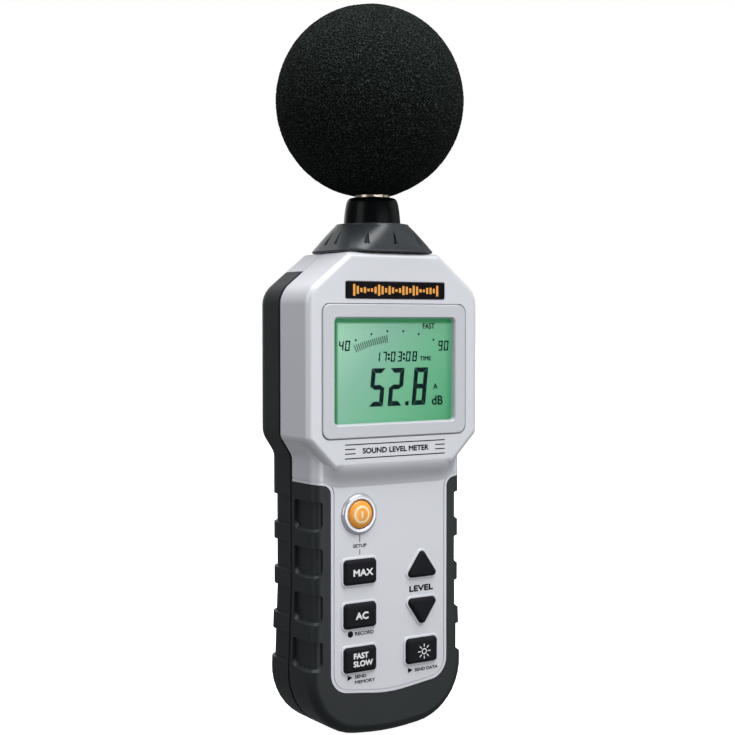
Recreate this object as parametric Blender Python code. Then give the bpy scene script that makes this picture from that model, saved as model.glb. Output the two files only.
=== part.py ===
"""Handheld sound level meter with a foam windscreen, as an assembly of separate pieces.

Lengths in this script are millimetres, and every mesh is scaled to metres as it is made.
The front faces -Y, the microphone lies on the Z axis, and the lowest point is at z = 0.
An outline lies in the XZ plane, and its depths are places along Y.
"""

import math

import bmesh
import bpy
from mathutils import Matrix, Vector

MM = 0.001
GAP = 0.3  # clearance between two pieces that touch

# Depths of the case along Y
HEAD_FRONT = -16.7
GRIP_FRONT = -12.8
PARTING = 3.5
BACK = 23.5
GRIP_CORNER = 4.0  # radius along the front edge of the grip
HEAD_CORNER = 2.5
BACK_CORNER = 8.0
WALL = 2.4
RUBBER = 2.4
INNER_FRONT = -11.4
PANEL_BACK = -9.4
CORE_BACK = 20.8
INNER_BACK = 18.8
FAR_FRONT = -40.0
FAR_BACK = 40.0

# Case outlines: the right half, from top to bottom, as (x, z, corner radius)
HEAD_TOP = 184.0
BODY = [
    (20.3, HEAD_TOP, 2.0),
    (39.0, 169.0, 10.0),
    (39.0, 114.6, 9.0),
    (34.0, 107.0, 5.0),
    (33.9, 56.0, 0.0),
    (36.0, 3.0, 23.0),
    (0.0, -0.461, 100.0),
]
HEAD = [BODY[0], BODY[1], (39.0, 114.2, 3.0), (25.5, 100.6, 3.0)]
GRIP = [(38.2, 135.0, 0.0), (38.2, 113.5, 5.0)] + BODY[3:]
PANEL = [(26.8, 112.0, 0.0), (26.8, 18.6, 8.0), (0.0, 15.2, 60.0)]
FRONT_RUBBER_TOP = 96.9
REAR_RUBBER_TOP = 177.0
REAR_PANEL_INSET = 8.3
CAVITY_INSET = 4.9

# Square hollows along the sides of the grip
HOLLOW_Z = [86.0, 68.5, 51.0, 33.5]
HOLLOW_HEIGHT = 11.3
HOLLOW_DEPTH = 1.2
FRONT_HOLLOW_X = 30.2
FRONT_HOLLOW_BACK = 1.9
FRONT_HOLLOW_DROP = 0.6  # the front hollows sit this much lower than the rear ones
REAR_HOLLOW_FRONT = 6.0

# Display: half width, lower and upper z
BEZEL = (32.7, 114.4, 164.6, 3.5)
WINDOW = (27.2, 119.8, 159.1, 1.2)
DISPLAY_BAY = (30.7, 116.5, 162.4, 1.5)
GLASS = (30.2, 117.0, 161.9, 1.2)
BEZEL_FRONT = HEAD_FRONT - 0.4
BEZEL_BACK = -15.1
LENS_BACK = -14.0
LCD_BACK = -11.5
NAME_PLATE = (22.5, 166.6, 173.0, 0.8)

# Keys
COLUMN_X = 14.2
ROW_Z = [63.9, 47.3, 30.6]
KEY_HALF_WIDTH = 7.2
KEY_HALF_HEIGHT = 5.1
KEY_FRONT = -14.7
KEY_FLANGE = 1.0
KEY_BACK = -9.9
KEY_CLEARANCE = 0.35
KEY_BOX = [(KEY_HALF_WIDTH, KEY_HALF_HEIGHT, 1.4), (KEY_HALF_WIDTH, -KEY_HALF_HEIGHT, 1.4)]
ARROW_UP = [(0.0, 6.4, 1.5), (8.1, -5.15, 1.5)]
ARROW_DOWN = [(8.1, 5.15, 1.5), (0.0, -6.4, 1.5)]
ARROW_UP_Z = 64.15
ARROW_DOWN_Z = 46.0
POWER_Z = 85.3
POWER_RING_RADIUS = 7.85
POWER_RADIUS = 5.15
RING_SEAT = -12.1

# Electronics
MAT_FRONT = -8.8
MAT_BACK = -8.0
BOARD_FRONT = -7.7
BOARD_BACK = -6.1
BOARD = [(28.0, 165.0, 1.0), (28.0, 110.0, 1.0), (22.5, 104.5, 1.0), (22.5, 20.0, 1.0)]
BOARD_SCREWS = {"left": (-17.0, 106.0), "right": (17.0, 106.0), "bottom": (0.0, 40.0)}
PIN_RADIUS = 1.0
BORE_RADIUS = 1.35
CASE_SCREWS = {
    "top_left": (-20.5, 169.5),
    "top_right": (20.5, 169.5),
    "bottom_left": (-21.5, 22.0),
    "bottom_right": (21.5, 22.0),
}

# Battery, its bay and its cover: half width, lower and upper z
BATTERY = (13.25, 14.4, 62.9, 2.0)
BAY = (14.4, 13.6, 70.2, 1.5)
BAY_WALL = 1.3
COVER = (16.6, 11.2, 77.0, 2.5)
COVER_SEAT = 21.2
COVER_SCREW_Z = 73.6

# Tripod insert
TRIPOD_Z = 88.0
TRIPOD_RADIUS = 5.0
TRIPOD_BORE = 3.3
TRIPOD_FLOOR = 13.5

# Microphone, its neck and the windscreen
TUBE_RADIUS = 7.0
TUBE_BOTTOM = 178.0
TUBE_TOP = 231.0
NUT_RADIUS = 10.5
CAPSULE_TOP = 240.0
GRID_TOP = 243.5
BOOT_BOTTOM = 186.6
BOOT_TOP = 205.8
COLLAR_BOTTOM = HEAD_TOP + GAP
COLLAR_TOP = 195.5
BALL_RADIUS = 36.4
BALL_HALF_HEIGHT = 37.0
BALL_Z = 243.0
BALL_BORE = 7.4

# Finishes: colour, roughness, metallic
SILVER = ((0.53, 0.54, 0.57), 0.42, 0.25)
PALE_SILVER = ((0.58, 0.60, 0.63), 0.38, 0.25)
BLACK_RUBBER = ((0.022, 0.026, 0.027), 0.72, 0.0)
BLACK_PLASTIC = ((0.012, 0.014, 0.016), 0.30, 0.0)
GREY_PLASTIC = ((0.035, 0.041, 0.045), 0.48, 0.0)
FOAM = ((0.008, 0.011, 0.010), 0.95, 0.0)
KEY_RUBBER = ((0.027, 0.028, 0.032), 0.80, 0.0)
ORANGE = ((0.80, 0.26, 0.03), 0.45, 0.0)
CHROME = ((0.80, 0.81, 0.83), 0.15, 1.0)
CLEAR = ((0.60, 0.80, 0.68), 0.08, 0.0)
LCD_GREEN = ((0.25, 0.50, 0.32), 0.30, 0.0)
WHITE_PLASTIC = ((0.80, 0.80, 0.76), 0.55, 0.0)
BOARD_GREEN = ((0.02, 0.16, 0.06), 0.50, 0.0)
STEEL = ((0.50, 0.50, 0.50), 0.35, 1.0)
BRASS = ((0.72, 0.50, 0.20), 0.35, 1.0)
RED_WIRE = ((0.50, 0.02, 0.02), 0.50, 0.0)


# ---------------------------------------------------------------- outlines

def mirrored(corners):
    """The right half's corners followed by the left half's, all the way round."""
    left = [(-x, z, radius) for x, z, radius in reversed(corners) if x > 0]
    return corners + left


def rounded_outline(corners, inset=0.0, steps=4):
    """A closed outline, moved inwards by inset, with each corner turned into an arc."""
    full = mirrored(corners)
    count = len(full)
    headings = []
    for index in range(count):
        here = Vector(full[index][:2])
        after = Vector(full[(index + 1) % count][:2])
        headings.append((after - here).normalized())
    points = []
    for index, (x, z, radius) in enumerate(full):
        before, after = headings[index - 1], headings[index]
        normal_before = Vector((before.y, -before.x))
        normal_after = Vector((after.y, -after.x))
        slide = (normal_before + normal_after) / (1 + normal_before.dot(normal_after))
        corner = Vector((x, z)) + inset * slide
        if radius == 0:
            points.append(corner)
            continue
        outward_turn = before.cross(after) < 0
        radius = max(radius - inset if outward_turn else radius + inset, 0.25)
        turn = before.angle(after)
        start = corner - before * radius * math.tan(turn / 2)
        towards_centre = normal_before if outward_turn else -normal_before
        for step in range(steps + 1):
            angle = turn * step / steps
            along = before * radius * math.sin(angle)
            points.append(start + along + towards_centre * radius * (1 - math.cos(angle)))
    return [(point.x, point.y) for point in points]


def plate_corners(plate, grow=0.0):
    """Corners of a rectangle given as half width, lower z, upper z and corner radius."""
    half_width, low, high, radius = plate
    side = half_width + grow
    return [(side, high + grow, radius), (side, low - grow, radius)]


def rounded_front(face, radius, back, inset=0.0, steps=3):
    """Depths and insets of a prism whose edge towards -Y is a quarter circle."""
    levels = []
    for step in range(steps + 1):
        angle = math.pi / 2 * step / steps
        levels.append((face + radius * (1 - math.cos(angle)), inset + radius * (1 - math.sin(angle))))
    return levels + [(back, inset)]


# ---------------------------------------------------------------- solids

def finished(obj, finish):
    """Gives the object a material of its own and smooth shading on its round faces."""
    colour, roughness, metallic = finish
    material = bpy.data.materials.new(obj.name)
    material.use_nodes = True
    shader = material.node_tree.nodes["Principled BSDF"]
    shader.inputs["Base Color"].default_value = (*colour, 1.0)
    shader.inputs["Roughness"].default_value = roughness
    shader.inputs["Metallic"].default_value = metallic
    material.diffuse_color = (*colour, 1.0)
    obj.data.materials.clear()
    obj.data.materials.append(material)
    obj.data.shade_smooth()
    obj.data.set_sharp_from_angle(angle=math.radians(32))
    return obj


def solid_from(name, bm):
    """An object in metres from a closed mesh in millimetres."""
    bmesh.ops.recalc_face_normals(bm, faces=bm.faces)
    bmesh.ops.scale(bm, vec=(MM, MM, MM), verts=bm.verts)
    mesh = bpy.data.meshes.new(name)
    bm.to_mesh(mesh)
    bm.free()
    obj = bpy.data.objects.new(name, mesh)
    bpy.context.scene.collection.objects.link(obj)
    return obj


def bridged(name, rings, closed=False):
    """A solid through rings of points; a ring of one point is a tip of the solid."""
    bm = bmesh.new()
    loops = [[bm.verts.new(point) for point in ring] for ring in rings]
    pairs = list(zip(loops, loops[1:]))
    if closed:
        pairs.append((loops[-1], loops[0]))
    for near, far in pairs:
        count = max(len(near), len(far))
        for index in range(count):
            after = (index + 1) % count
            if len(near) == 1:
                bm.faces.new((near[0], far[index], far[after]))
            elif len(far) == 1:
                bm.faces.new((near[index], near[after], far[0]))
            else:
                bm.faces.new((near[index], near[after], far[after], far[index]))
    if not closed:
        for loop in (loops[0], loops[-1]):
            if len(loop) > 2:
                bm.faces.new(loop)
    return solid_from(name, bm)


def prism(name, corners, levels, centre=(0.0, 0.0), steps=4):
    """A solid that follows one outline through (y, inset) levels."""
    rings = []
    for y, inset in levels:
        outline = rounded_outline(corners, inset, steps)
        rings.append([(x + centre[0], y, z + centre[1]) for x, z in outline])
    return bridged(name, rings)


def plate(name, shape, front, back, grow=0.0, edge=0.0):
    """A flat rounded plate, with its front edge chamfered by edge."""
    levels = [(front, edge), (front + edge, 0.0), (back, 0.0)] if edge else [(front, 0.0), (back, 0.0)]
    return prism(name, plate_corners(shape, grow), levels, steps=3)


def turned(name, profile, centre=(0.0, 0.0, 0.0), axis="Z", sides=24, closed=False):
    """A turned solid from (radius, height) points; heights run along the axis."""
    rings = []
    for radius, height in profile:
        ring = []
        for index in range(1 if radius == 0 else sides):
            angle = 2 * math.pi * index / sides
            across, along = radius * math.cos(angle), radius * math.sin(angle)
            local = (across, along, height) if axis == "Z" else (across, height, along)
            ring.append(tuple(a + b for a, b in zip(local, centre)))
        rings.append(ring)
    return bridged(name, rings, closed)


def rod(name, radius, low, high, centre, axis="Y", sides=16):
    """A plain round bar between two heights on its axis."""
    return turned(name, [(radius, low), (radius, high)], centre, axis, sides)


def box(name, low, high):
    """A box between two corners."""
    bm = bmesh.new()
    bmesh.ops.create_cube(bm, size=1.0)
    size = Vector(high) - Vector(low)
    bmesh.ops.scale(bm, vec=size, verts=bm.verts)
    bmesh.ops.translate(bm, vec=(Vector(high) + Vector(low)) / 2, verts=bm.verts)
    return solid_from(name, bm)


def combine(target, operation, *others):
    """Joins others to the target or takes them from it, and removes them."""
    for other in others:
        modifier = target.modifiers.new("Boolean", "BOOLEAN")
        modifier.operation = operation
        modifier.object = other
        graph = bpy.context.evaluated_depsgraph_get()
        mesh = bpy.data.meshes.new_from_object(target.evaluated_get(graph))
        target.modifiers.clear()
        target.data = mesh
        bpy.data.objects.remove(other, do_unlink=True)
    return target


def cut(target, *cutters):
    return combine(target, "DIFFERENCE", *cutters)


def unite(target, *others):
    return combine(target, "UNION", *others)


def origin_at(obj, x, y, z):
    """Moves the object's origin to a point, in millimetres, and leaves its shape in place."""
    point = Vector((x, y, z)) * MM
    obj.data.transform(Matrix.Translation(-point))
    obj.location = point
    return obj


def wire(name, route, radius, finish):
    """A round lead along a smooth curve through the route's points."""
    curve = bpy.data.curves.new(name, "CURVE")
    curve.dimensions = "3D"
    curve.bevel_depth = radius * MM
    curve.bevel_resolution = 2
    curve.resolution_u = 3
    curve.use_fill_caps = True
    spline = curve.splines.new("BEZIER")
    spline.bezier_points.add(len(route) - 1)
    for bezier_point, place in zip(spline.bezier_points, route):
        bezier_point.co = Vector(place) * MM
        bezier_point.handle_left_type = "AUTO"
        bezier_point.handle_right_type = "AUTO"
    obj = bpy.data.objects.new(name, curve)
    bpy.context.scene.collection.objects.link(obj)
    colour, roughness, metallic = finish
    material = bpy.data.materials.new(name)
    material.use_nodes = True
    shader = material.node_tree.nodes["Principled BSDF"]
    shader.inputs["Base Color"].default_value = (*colour, 1.0)
    shader.inputs["Roughness"].default_value = roughness
    shader.inputs["Metallic"].default_value = metallic
    curve.materials.append(material)
    return obj


# ---------------------------------------------------------------- case

def keys_layout():
    """Name, outline and centre of every key on the grip."""
    return [
        ("key_max", KEY_BOX, (-COLUMN_X, ROW_Z[0])),
        ("key_weighting", KEY_BOX, (-COLUMN_X, ROW_Z[1])),
        ("key_response", KEY_BOX, (-COLUMN_X, ROW_Z[2])),
        ("key_backlight", KEY_BOX, (COLUMN_X, ROW_Z[2])),
        ("key_level_up", ARROW_UP, (COLUMN_X, ARROW_UP_Z)),
        ("key_level_down", ARROW_DOWN, (COLUMN_X, ARROW_DOWN_Z)),
    ]


def front_hollows():
    """Cutters for the hollows of the front half, which run round the front corner."""
    cutters = []
    for side in (-1, 1):
        near, far = side * FRONT_HOLLOW_X, side * 45.0
        for z in HOLLOW_Z:
            middle = z - FRONT_HOLLOW_DROP
            low = (min(near, far), FAR_FRONT, middle - HOLLOW_HEIGHT / 2)
            high = (max(near, far), FRONT_HOLLOW_BACK, middle + HOLLOW_HEIGHT / 2)
            band = box("hollow", low, high)
            cut(band, grip_skin("kept", HOLLOW_DEPTH))
            cutters.append(band)
    return cutters


def rear_hollows():
    """Cutters for the hollows of the rear half, which run round the back corner."""
    cutters = []
    for z in HOLLOW_Z:
        low, high = z - HOLLOW_HEIGHT / 2, z + HOLLOW_HEIGHT / 2
        band = box("hollow", (-45, REAR_HOLLOW_FRONT, low), (45, FAR_BACK, high))
        cut(band, rear_skin("kept", HOLLOW_DEPTH))
        cutters.append(band)
    return cutters


def grip_skin(name, depth=0.0):
    """The outer shape of the front half of the grip, or a surface that lies depth inside it."""
    levels = rounded_front(GRIP_FRONT + depth, GRIP_CORNER - depth, PARTING - GAP / 2, depth)
    return prism(name, GRIP, levels)


def make_front_shell():
    end = PARTING - GAP / 2
    shell = prism("front_shell", HEAD, rounded_front(HEAD_FRONT, HEAD_CORNER, end))
    shoulder = grip_skin("shoulder")
    cut(shoulder, box("below", (-60, FAR_FRONT, -10), (60, FAR_BACK, FRONT_RUBBER_TOP + GAP)))
    core_inset = RUBBER + GAP
    core_levels = [(GRIP_FRONT + core_inset, core_inset + 2.0), (-8.2, core_inset), (end, core_inset)]
    core = prism("core", GRIP, core_levels)
    panel = prism("panel", PANEL, [(GRIP_FRONT, 0.5), (GRIP_FRONT + 0.5, 0.0), (PANEL_BACK, 0.0)])
    unite(shell, shoulder, core, panel)
    inner_head = prism("inner_head", HEAD, [(INNER_FRONT, WALL), (FAR_BACK, WALL)])
    inner_panel = prism("inner_panel", PANEL, [(INNER_FRONT, 1.6), (-7.0, 1.6)])
    grip_levels = [(-8.2, CAVITY_INSET + 2.0), (-6.4, CAVITY_INSET), (FAR_BACK, CAVITY_INSET)]
    inner_grip = prism("inner_grip", GRIP, grip_levels)
    cut(shell, inner_head, inner_panel, inner_grip)
    for x, z in CASE_SCREWS.values():
        boss = rod("boss", 2.8, INNER_FRONT - 0.6, end, (x, 0, z), sides=12)
        unite(shell, boss)
        cut(shell, rod("bore", BORE_RADIUS, -7.0, FAR_BACK, (x, 0, z), sides=12))
    for x, z in BOARD_SCREWS.values():
        unite(shell, rod("post", 2.4, INNER_FRONT - 0.6, BOARD_FRONT - GAP, (x, 0, z), sides=12))
        cut(shell, rod("bore", BORE_RADIUS, INNER_FRONT + 0.4, 0.0, (x, 0, z), sides=12))
    cut(shell, plate("bezel_seat", BEZEL, FAR_FRONT, BEZEL_BACK + GAP, GAP))
    cut(shell, plate("display_bay", DISPLAY_BAY, FAR_FRONT, 0.0))
    cut(shell, plate("name_seat", NAME_PLATE, FAR_FRONT, HEAD_FRONT + 0.65, GAP))
    for _, outline, centre in keys_layout():
        hole = [(FAR_FRONT, -KEY_CLEARANCE), (0.0, -KEY_CLEARANCE)]
        cut(shell, prism("key_hole", outline, hole, centre, steps=3))
    power = (-COLUMN_X, 0, POWER_Z)
    cut(shell, rod("ring_seat", POWER_RING_RADIUS + GAP, FAR_FRONT, RING_SEAT, power, sides=32))
    cut(shell, rod("power_hole", POWER_RADIUS + KEY_CLEARANCE, FAR_FRONT, 0.0, power, sides=32))
    cut(shell, rod("neck_hole", TUBE_RADIUS + GAP, HEAD_TOP - 8, HEAD_TOP + 8, (0, 0, 0), "Z", 32))
    finished(shell, SILVER)


def make_front_grip_rubber():
    rubber = grip_skin("front_grip_rubber")
    cut(rubber, box("above", (-60, FAR_FRONT, FRONT_RUBBER_TOP), (60, FAR_BACK, 160)))
    clear_levels = [(GRIP_FRONT + RUBBER, RUBBER + 2.0), (-8.3, RUBBER), (FAR_BACK, RUBBER)]
    clear_core = prism("clear_core", GRIP, clear_levels)
    clear_panel = prism("clear_panel", PANEL, [(FAR_FRONT, -GAP), (0.0, -GAP)])
    cut(rubber, clear_core, clear_panel, *front_hollows())
    finished(rubber, BLACK_RUBBER)


def rear_skin(name, depth=0.0):
    """The outer shape of the rear half of the case, or a surface that lies depth inside it."""
    radius, start = BACK_CORNER - depth, PARTING + GAP / 2
    levels = rounded_front(depth - BACK, radius, -start, depth, steps=4)
    return prism(name, BODY, [(-y, inset) for y, inset in levels])


def make_rear_shell():
    start = PARTING + GAP / 2
    shell = rear_skin("rear_shell")
    cut(shell, box("below", (-60, -10, -10), (60, FAR_BACK, REAR_RUBBER_TOP + GAP)))
    core_inset = RUBBER + GAP
    core_levels = [(start, core_inset), (CORE_BACK - 5.5, core_inset), (CORE_BACK - 1.6, core_inset + 1.8)]
    core_levels.append((CORE_BACK, core_inset + 5.6))
    panel_levels = [(INNER_BACK - 1, REAR_PANEL_INSET), (BACK - 0.5, REAR_PANEL_INSET)]
    panel_levels.append((BACK, REAR_PANEL_INSET + 0.5))
    unite(shell, prism("core", BODY, core_levels), prism("panel", BODY, panel_levels))
    cavity_levels = [(-10.0, CAVITY_INSET), (INNER_BACK - 4.0, CAVITY_INSET)]
    cavity_levels.append((INNER_BACK, CAVITY_INSET + 4.0))
    cut(shell, prism("cavity", BODY, cavity_levels))
    unite(shell, plate("bay_wall", BAY, 5.0, COVER_SEAT - 0.5, BAY_WALL))
    unite(shell, rod("tripod_boss", 7.2, 11.0, INNER_BACK + 1, (0, 0, TRIPOD_Z)))
    unite(shell, rod("cover_boss", 3.2, 10.0, INNER_BACK + 1, (0, 0, COVER_SCREW_Z + 0.4)))
    cut(shell, plate("cover_seat", COVER, COVER_SEAT, FAR_BACK, GAP))
    cut(shell, plate("bay", BAY, -10.0, FAR_BACK))
    cut(shell, rod("tripod_hole", TRIPOD_RADIUS + GAP, TRIPOD_FLOOR - GAP, FAR_BACK, (0, 0, TRIPOD_Z)))
    cut(shell, rod("cover_bore", BORE_RADIUS, 13.0, FAR_BACK, (0, 0, COVER_SCREW_Z), sides=12))
    for x, z in CASE_SCREWS.values():
        unite(shell, rod("boss", 2.8, start, INNER_BACK + 1, (x, 0, z), sides=12))
        cut(shell, rod("bore", BORE_RADIUS, -10, FAR_BACK, (x, 0, z), sides=12))
        cut(shell, rod("head_seat", 2.9, BACK - 2.2, FAR_BACK, (x, 0, z), sides=16))
    cut(shell, rod("neck_hole", TUBE_RADIUS + GAP, HEAD_TOP - 8, HEAD_TOP + 8, (0, 0, 0), "Z", 32))
    cut(shell, rod("nut_room", NUT_RADIUS + 0.8, 165.0, HEAD_TOP - WALL, (0, 0, 0), "Z", 32))
    finished(shell, SILVER)


def make_rear_grip_rubber():
    rubber = rear_skin("rear_grip_rubber")
    cut(rubber, box("above", (-60, -10, REAR_RUBBER_TOP), (60, FAR_BACK, 200)))
    clear_levels = [(-10.0, RUBBER), (CORE_BACK - 5.3, RUBBER), (CORE_BACK - 1.4, RUBBER + 1.8)]
    clear_levels.append((CORE_BACK + GAP, RUBBER + 5.6))
    clear_core = prism("clear_core", BODY, clear_levels)
    panel_inset = REAR_PANEL_INSET - GAP
    clear_panel = prism("clear_panel", BODY, [(0.0, panel_inset), (FAR_BACK, panel_inset)])
    cut(rubber, *rear_hollows(), clear_core, clear_panel)
    finished(rubber, BLACK_RUBBER)


def make_screw(name, x, z, head_back, head_radius, head_height, tip):
    """A screw that goes in from the back, with a cross recess in its head."""
    neck = head_back - head_height
    profile = [(0, tip), (PIN_RADIUS, tip + 0.6), (PIN_RADIUS, neck), (head_radius, neck)]
    profile += [(head_radius, head_back - 0.4), (head_radius - 0.5, head_back), (0, head_back)]
    screw = turned(name, profile, (x, 0, z), "Y", 12)
    for half_x, half_z in ((1.4, 0.3), (0.3, 1.4)):
        low = (x - half_x, head_back - 0.7, z - half_z)
        cut(screw, box("slot", low, (x + half_x, head_back + 1, z + half_z)))
    finished(screw, STEEL)
    return screw


def make_fasteners():
    for place, (x, z) in CASE_SCREWS.items():
        make_screw("case_screw_" + place, x, z, BACK - 0.5, 2.5, 1.4, -6.0)
    for place, (x, z) in BOARD_SCREWS.items():
        make_screw("board_screw_" + place, x, z, BOARD_BACK + 1.8, 2.2, 1.5, INNER_FRONT + 0.8)
    profile = [(0, TRIPOD_FLOOR), (TRIPOD_RADIUS, TRIPOD_FLOOR), (TRIPOD_RADIUS, BACK - 0.1)]
    profile += [(TRIPOD_BORE + 0.4, BACK - 0.1), (TRIPOD_BORE, BACK - 0.6)]
    profile += [(TRIPOD_BORE, TRIPOD_FLOOR + 1.0), (0, TRIPOD_FLOOR + 1.0)]
    finished(turned("tripod_insert", profile, (0, 0, TRIPOD_Z), "Y", 24), BRASS)


# ---------------------------------------------------------------- display

def make_display():
    bezel = plate("display_bezel", BEZEL, BEZEL_FRONT, BEZEL_BACK, edge=0.4)
    slope = [(BEZEL_FRONT - 0.1, -0.7), (BEZEL_BACK + 0.1, 0.0)]
    cut(bezel, prism("window", plate_corners(WINDOW), slope, steps=3))
    finished(bezel, PALE_SILVER)
    finished(plate("display_lens", GLASS, BEZEL_BACK + GAP, LENS_BACK), CLEAR)
    finished(plate("lcd_panel", GLASS, LENS_BACK + GAP, LCD_BACK, -0.3), LCD_GREEN)
    holder = plate("lcd_holder", (33.0, 113.4, 164.4, 1.5), INNER_FRONT + GAP, BOARD_FRONT - GAP)
    cut(holder, plate("opening", (28.4, 116.2, 162.8, 1.0), FAR_FRONT, 0.0))
    finished(holder, WHITE_PLASTIC)
    guide = (27.9, 119.8, 159.2, 1.0)
    finished(plate("lcd_backlight", guide, LCD_BACK + GAP, BOARD_FRONT - 1.2), WHITE_PLASTIC)
    for place, low in (("top", 159.8), ("bottom", 117.0)):
        low_corner = (-26.0, LCD_BACK + GAP, low)
        strip = box("zebra_strip_" + place, low_corner, (26.0, BOARD_FRONT - GAP, low + 2.2))
        finished(strip, GREY_PLASTIC)
    plate_front = HEAD_FRONT - 0.25
    finished(plate("name_plate", NAME_PLATE, plate_front, HEAD_FRONT + 0.35, edge=0.2), BLACK_PLASTIC)


# ---------------------------------------------------------------- keys

def make_keys():
    for name, outline, centre in keys_layout():
        shoulder = INNER_FRONT + GAP
        levels = [(KEY_FRONT, 0.9), (KEY_FRONT + 0.3, 0.3), (KEY_FRONT + 0.9, 0.0), (shoulder, 0.0)]
        levels += [(shoulder, -KEY_FLANGE), (KEY_BACK, -KEY_FLANGE)]
        key = prism(name, outline, levels, centre, steps=3)
        finished(key, KEY_RUBBER)
        origin_at(key, centre[0], KEY_FRONT, centre[1])
    centre = (-COLUMN_X, 0, POWER_Z)
    ring = [(5.55, RING_SEAT - 0.1), (7.85, RING_SEAT - 0.1), (7.85, -12.9), (7.35, -13.6)]
    ring += [(6.5, -14.2), (5.9, -14.2), (5.55, -13.8)]
    finished(turned("power_ring", ring, centre, "Y", 32, closed=True), CHROME)
    dome = [(0, -15.1), (2.2, -14.95), (4.0, -14.4), (4.9, -13.8), (POWER_RADIUS, -13.2)]
    dome += [(POWER_RADIUS, INNER_FRONT + GAP), (6.4, INNER_FRONT + GAP), (6.4, KEY_BACK), (0, KEY_BACK)]
    button = turned("power_button", dome, centre, "Y", 32)
    finished(button, ORANGE)
    origin_at(button, -COLUMN_X, KEY_FRONT, POWER_Z)
    mat = plate("keypad_mat", (21.8, 25.2, 93.6, 2.0), MAT_FRONT, MAT_BACK)
    cut(mat, rod("post_hole", 3.2, FAR_FRONT, 0.0, (0, 0, BOARD_SCREWS["bottom"][1]), sides=12))
    finished(mat, KEY_RUBBER)


# ---------------------------------------------------------------- electronics

def make_board():
    board = prism("main_board", BOARD, [(BOARD_FRONT, 0.0), (BOARD_BACK, 0.0)], steps=2)
    for x, z in BOARD_SCREWS.values():
        cut(board, rod("hole", BORE_RADIUS, -12, 0, (x, 0, z), sides=12))
    for place in ("bottom_left", "bottom_right"):
        x, z = CASE_SCREWS[place]
        cut(board, rod("boss_hole", 3.3, -12, 0, (x, 0, z), sides=12))
    finished(board, BOARD_GREEN)
    top = BOARD_BACK + GAP
    finished(box("processor_chip", (-7, top, 118), (7, top + 1.6, 132)), BLACK_PLASTIC)
    finished(box("preamplifier_chip", (-4, top, 147), (4, top + 1.8, 153)), BLACK_PLASTIC)
    finished(box("crystal_can", (11, top, 138), (22, top + 3.5, 142.5)), STEEL)
    for place, x in (("left", -12.0), ("right", 12.0)):
        can = [(0, top), (3.2, top), (3.2, top + 7.6), (2.8, top + 8.0), (0, top + 8.0)]
        finished(turned("filter_capacitor_" + place, can, (x, 0, 96.0), "Y", 16), BLACK_PLASTIC)
    route = [(0, 0, 183), (0, 0.3, 176), (0, -1.5, 168), (0, top + 0.9, 160.5)]
    wire("mic_lead", route, 0.8, BLACK_PLASTIC)


def make_battery():
    battery = plate("battery", BATTERY, PARTING + 0.4, COVER_SEAT, edge=0.0)
    finished(battery, GREY_PLASTIC)
    finished(box("battery_snap", (-12, 7.5, 63.3), (12, 18.5, 66.4)), BLACK_PLASTIC)
    for colour, side, finish in (("red", 1, RED_WIRE), ("black", -1, BLACK_PLASTIC)):
        x = side * 4.0
        route = [(x, 12.0, 67.5), (x, 7.0, 68.6), (x, 2.0, 71.0), (x, -1.5, 77.0)]
        route.append((x, BOARD_BACK + 1.1, 82.0))
        wire("battery_lead_" + colour, route, 0.7, finish)
    levels = [(BACK, 0.5), (BACK - 0.5, 0.0), (COVER_SEAT + GAP, 0.0)]
    cover = prism("battery_cover", plate_corners(COVER), levels, steps=3)
    screw_place = (0, 0, COVER_SCREW_Z)
    cut(cover, rod("bore", BORE_RADIUS, 0, FAR_BACK, screw_place, sides=12))
    cut(cover, rod("head_seat", 2.9, BACK - 1.4, FAR_BACK, screw_place, sides=16))
    for index in range(5):
        z = 20.0 + 2.4 * index
        cut(cover, box("finger_groove", (-8, BACK - 0.6, z), (8, FAR_BACK, z + 1.1)))
    finished(cover, SILVER)
    origin_at(cover, 0, BACK, COVER_SCREW_Z)
    screw = make_screw("battery_cover_screw", 0, COVER_SCREW_Z, BACK - 0.2, 2.5, 0.9, 15.0)
    origin_at(screw, 0, BACK, COVER_SCREW_Z)


# ---------------------------------------------------------------- microphone

def collar_ring(half_x, half_y, power, z, sides=48):
    """A ring between a circle (power 2) and a rounded rectangle (power 5 and over)."""
    ring = []
    for index in range(sides):
        angle = 2 * math.pi * index / sides
        across = abs(math.cos(angle) / half_x) ** power
        along = abs(math.sin(angle) / half_y) ** power
        radius = (across + along) ** (-1 / power)
        ring.append((radius * math.cos(angle), radius * math.sin(angle), z))
    return ring


def make_collar():
    rings = [
        collar_ring(20.3, 16.5, 5.0, COLLAR_BOTTOM),
        collar_ring(20.7, 16.9, 5.0, COLLAR_BOTTOM + 1.2),
        collar_ring(17.6, 15.6, 3.2, 190.2),
        collar_ring(14.6, 14.2, 2.2, COLLAR_TOP - 0.6),
        collar_ring(13.9, 13.6, 2.0, COLLAR_TOP),
    ]
    collar = bridged("collar", rings)
    seat = [(TUBE_RADIUS + GAP, 180.0), (TUBE_RADIUS + GAP, 186.3), (11.4, 186.3), (11.4, 200.0)]
    cut(collar, turned("boot_seat", seat, sides=32))
    finished(collar, GREY_PLASTIC)


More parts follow.
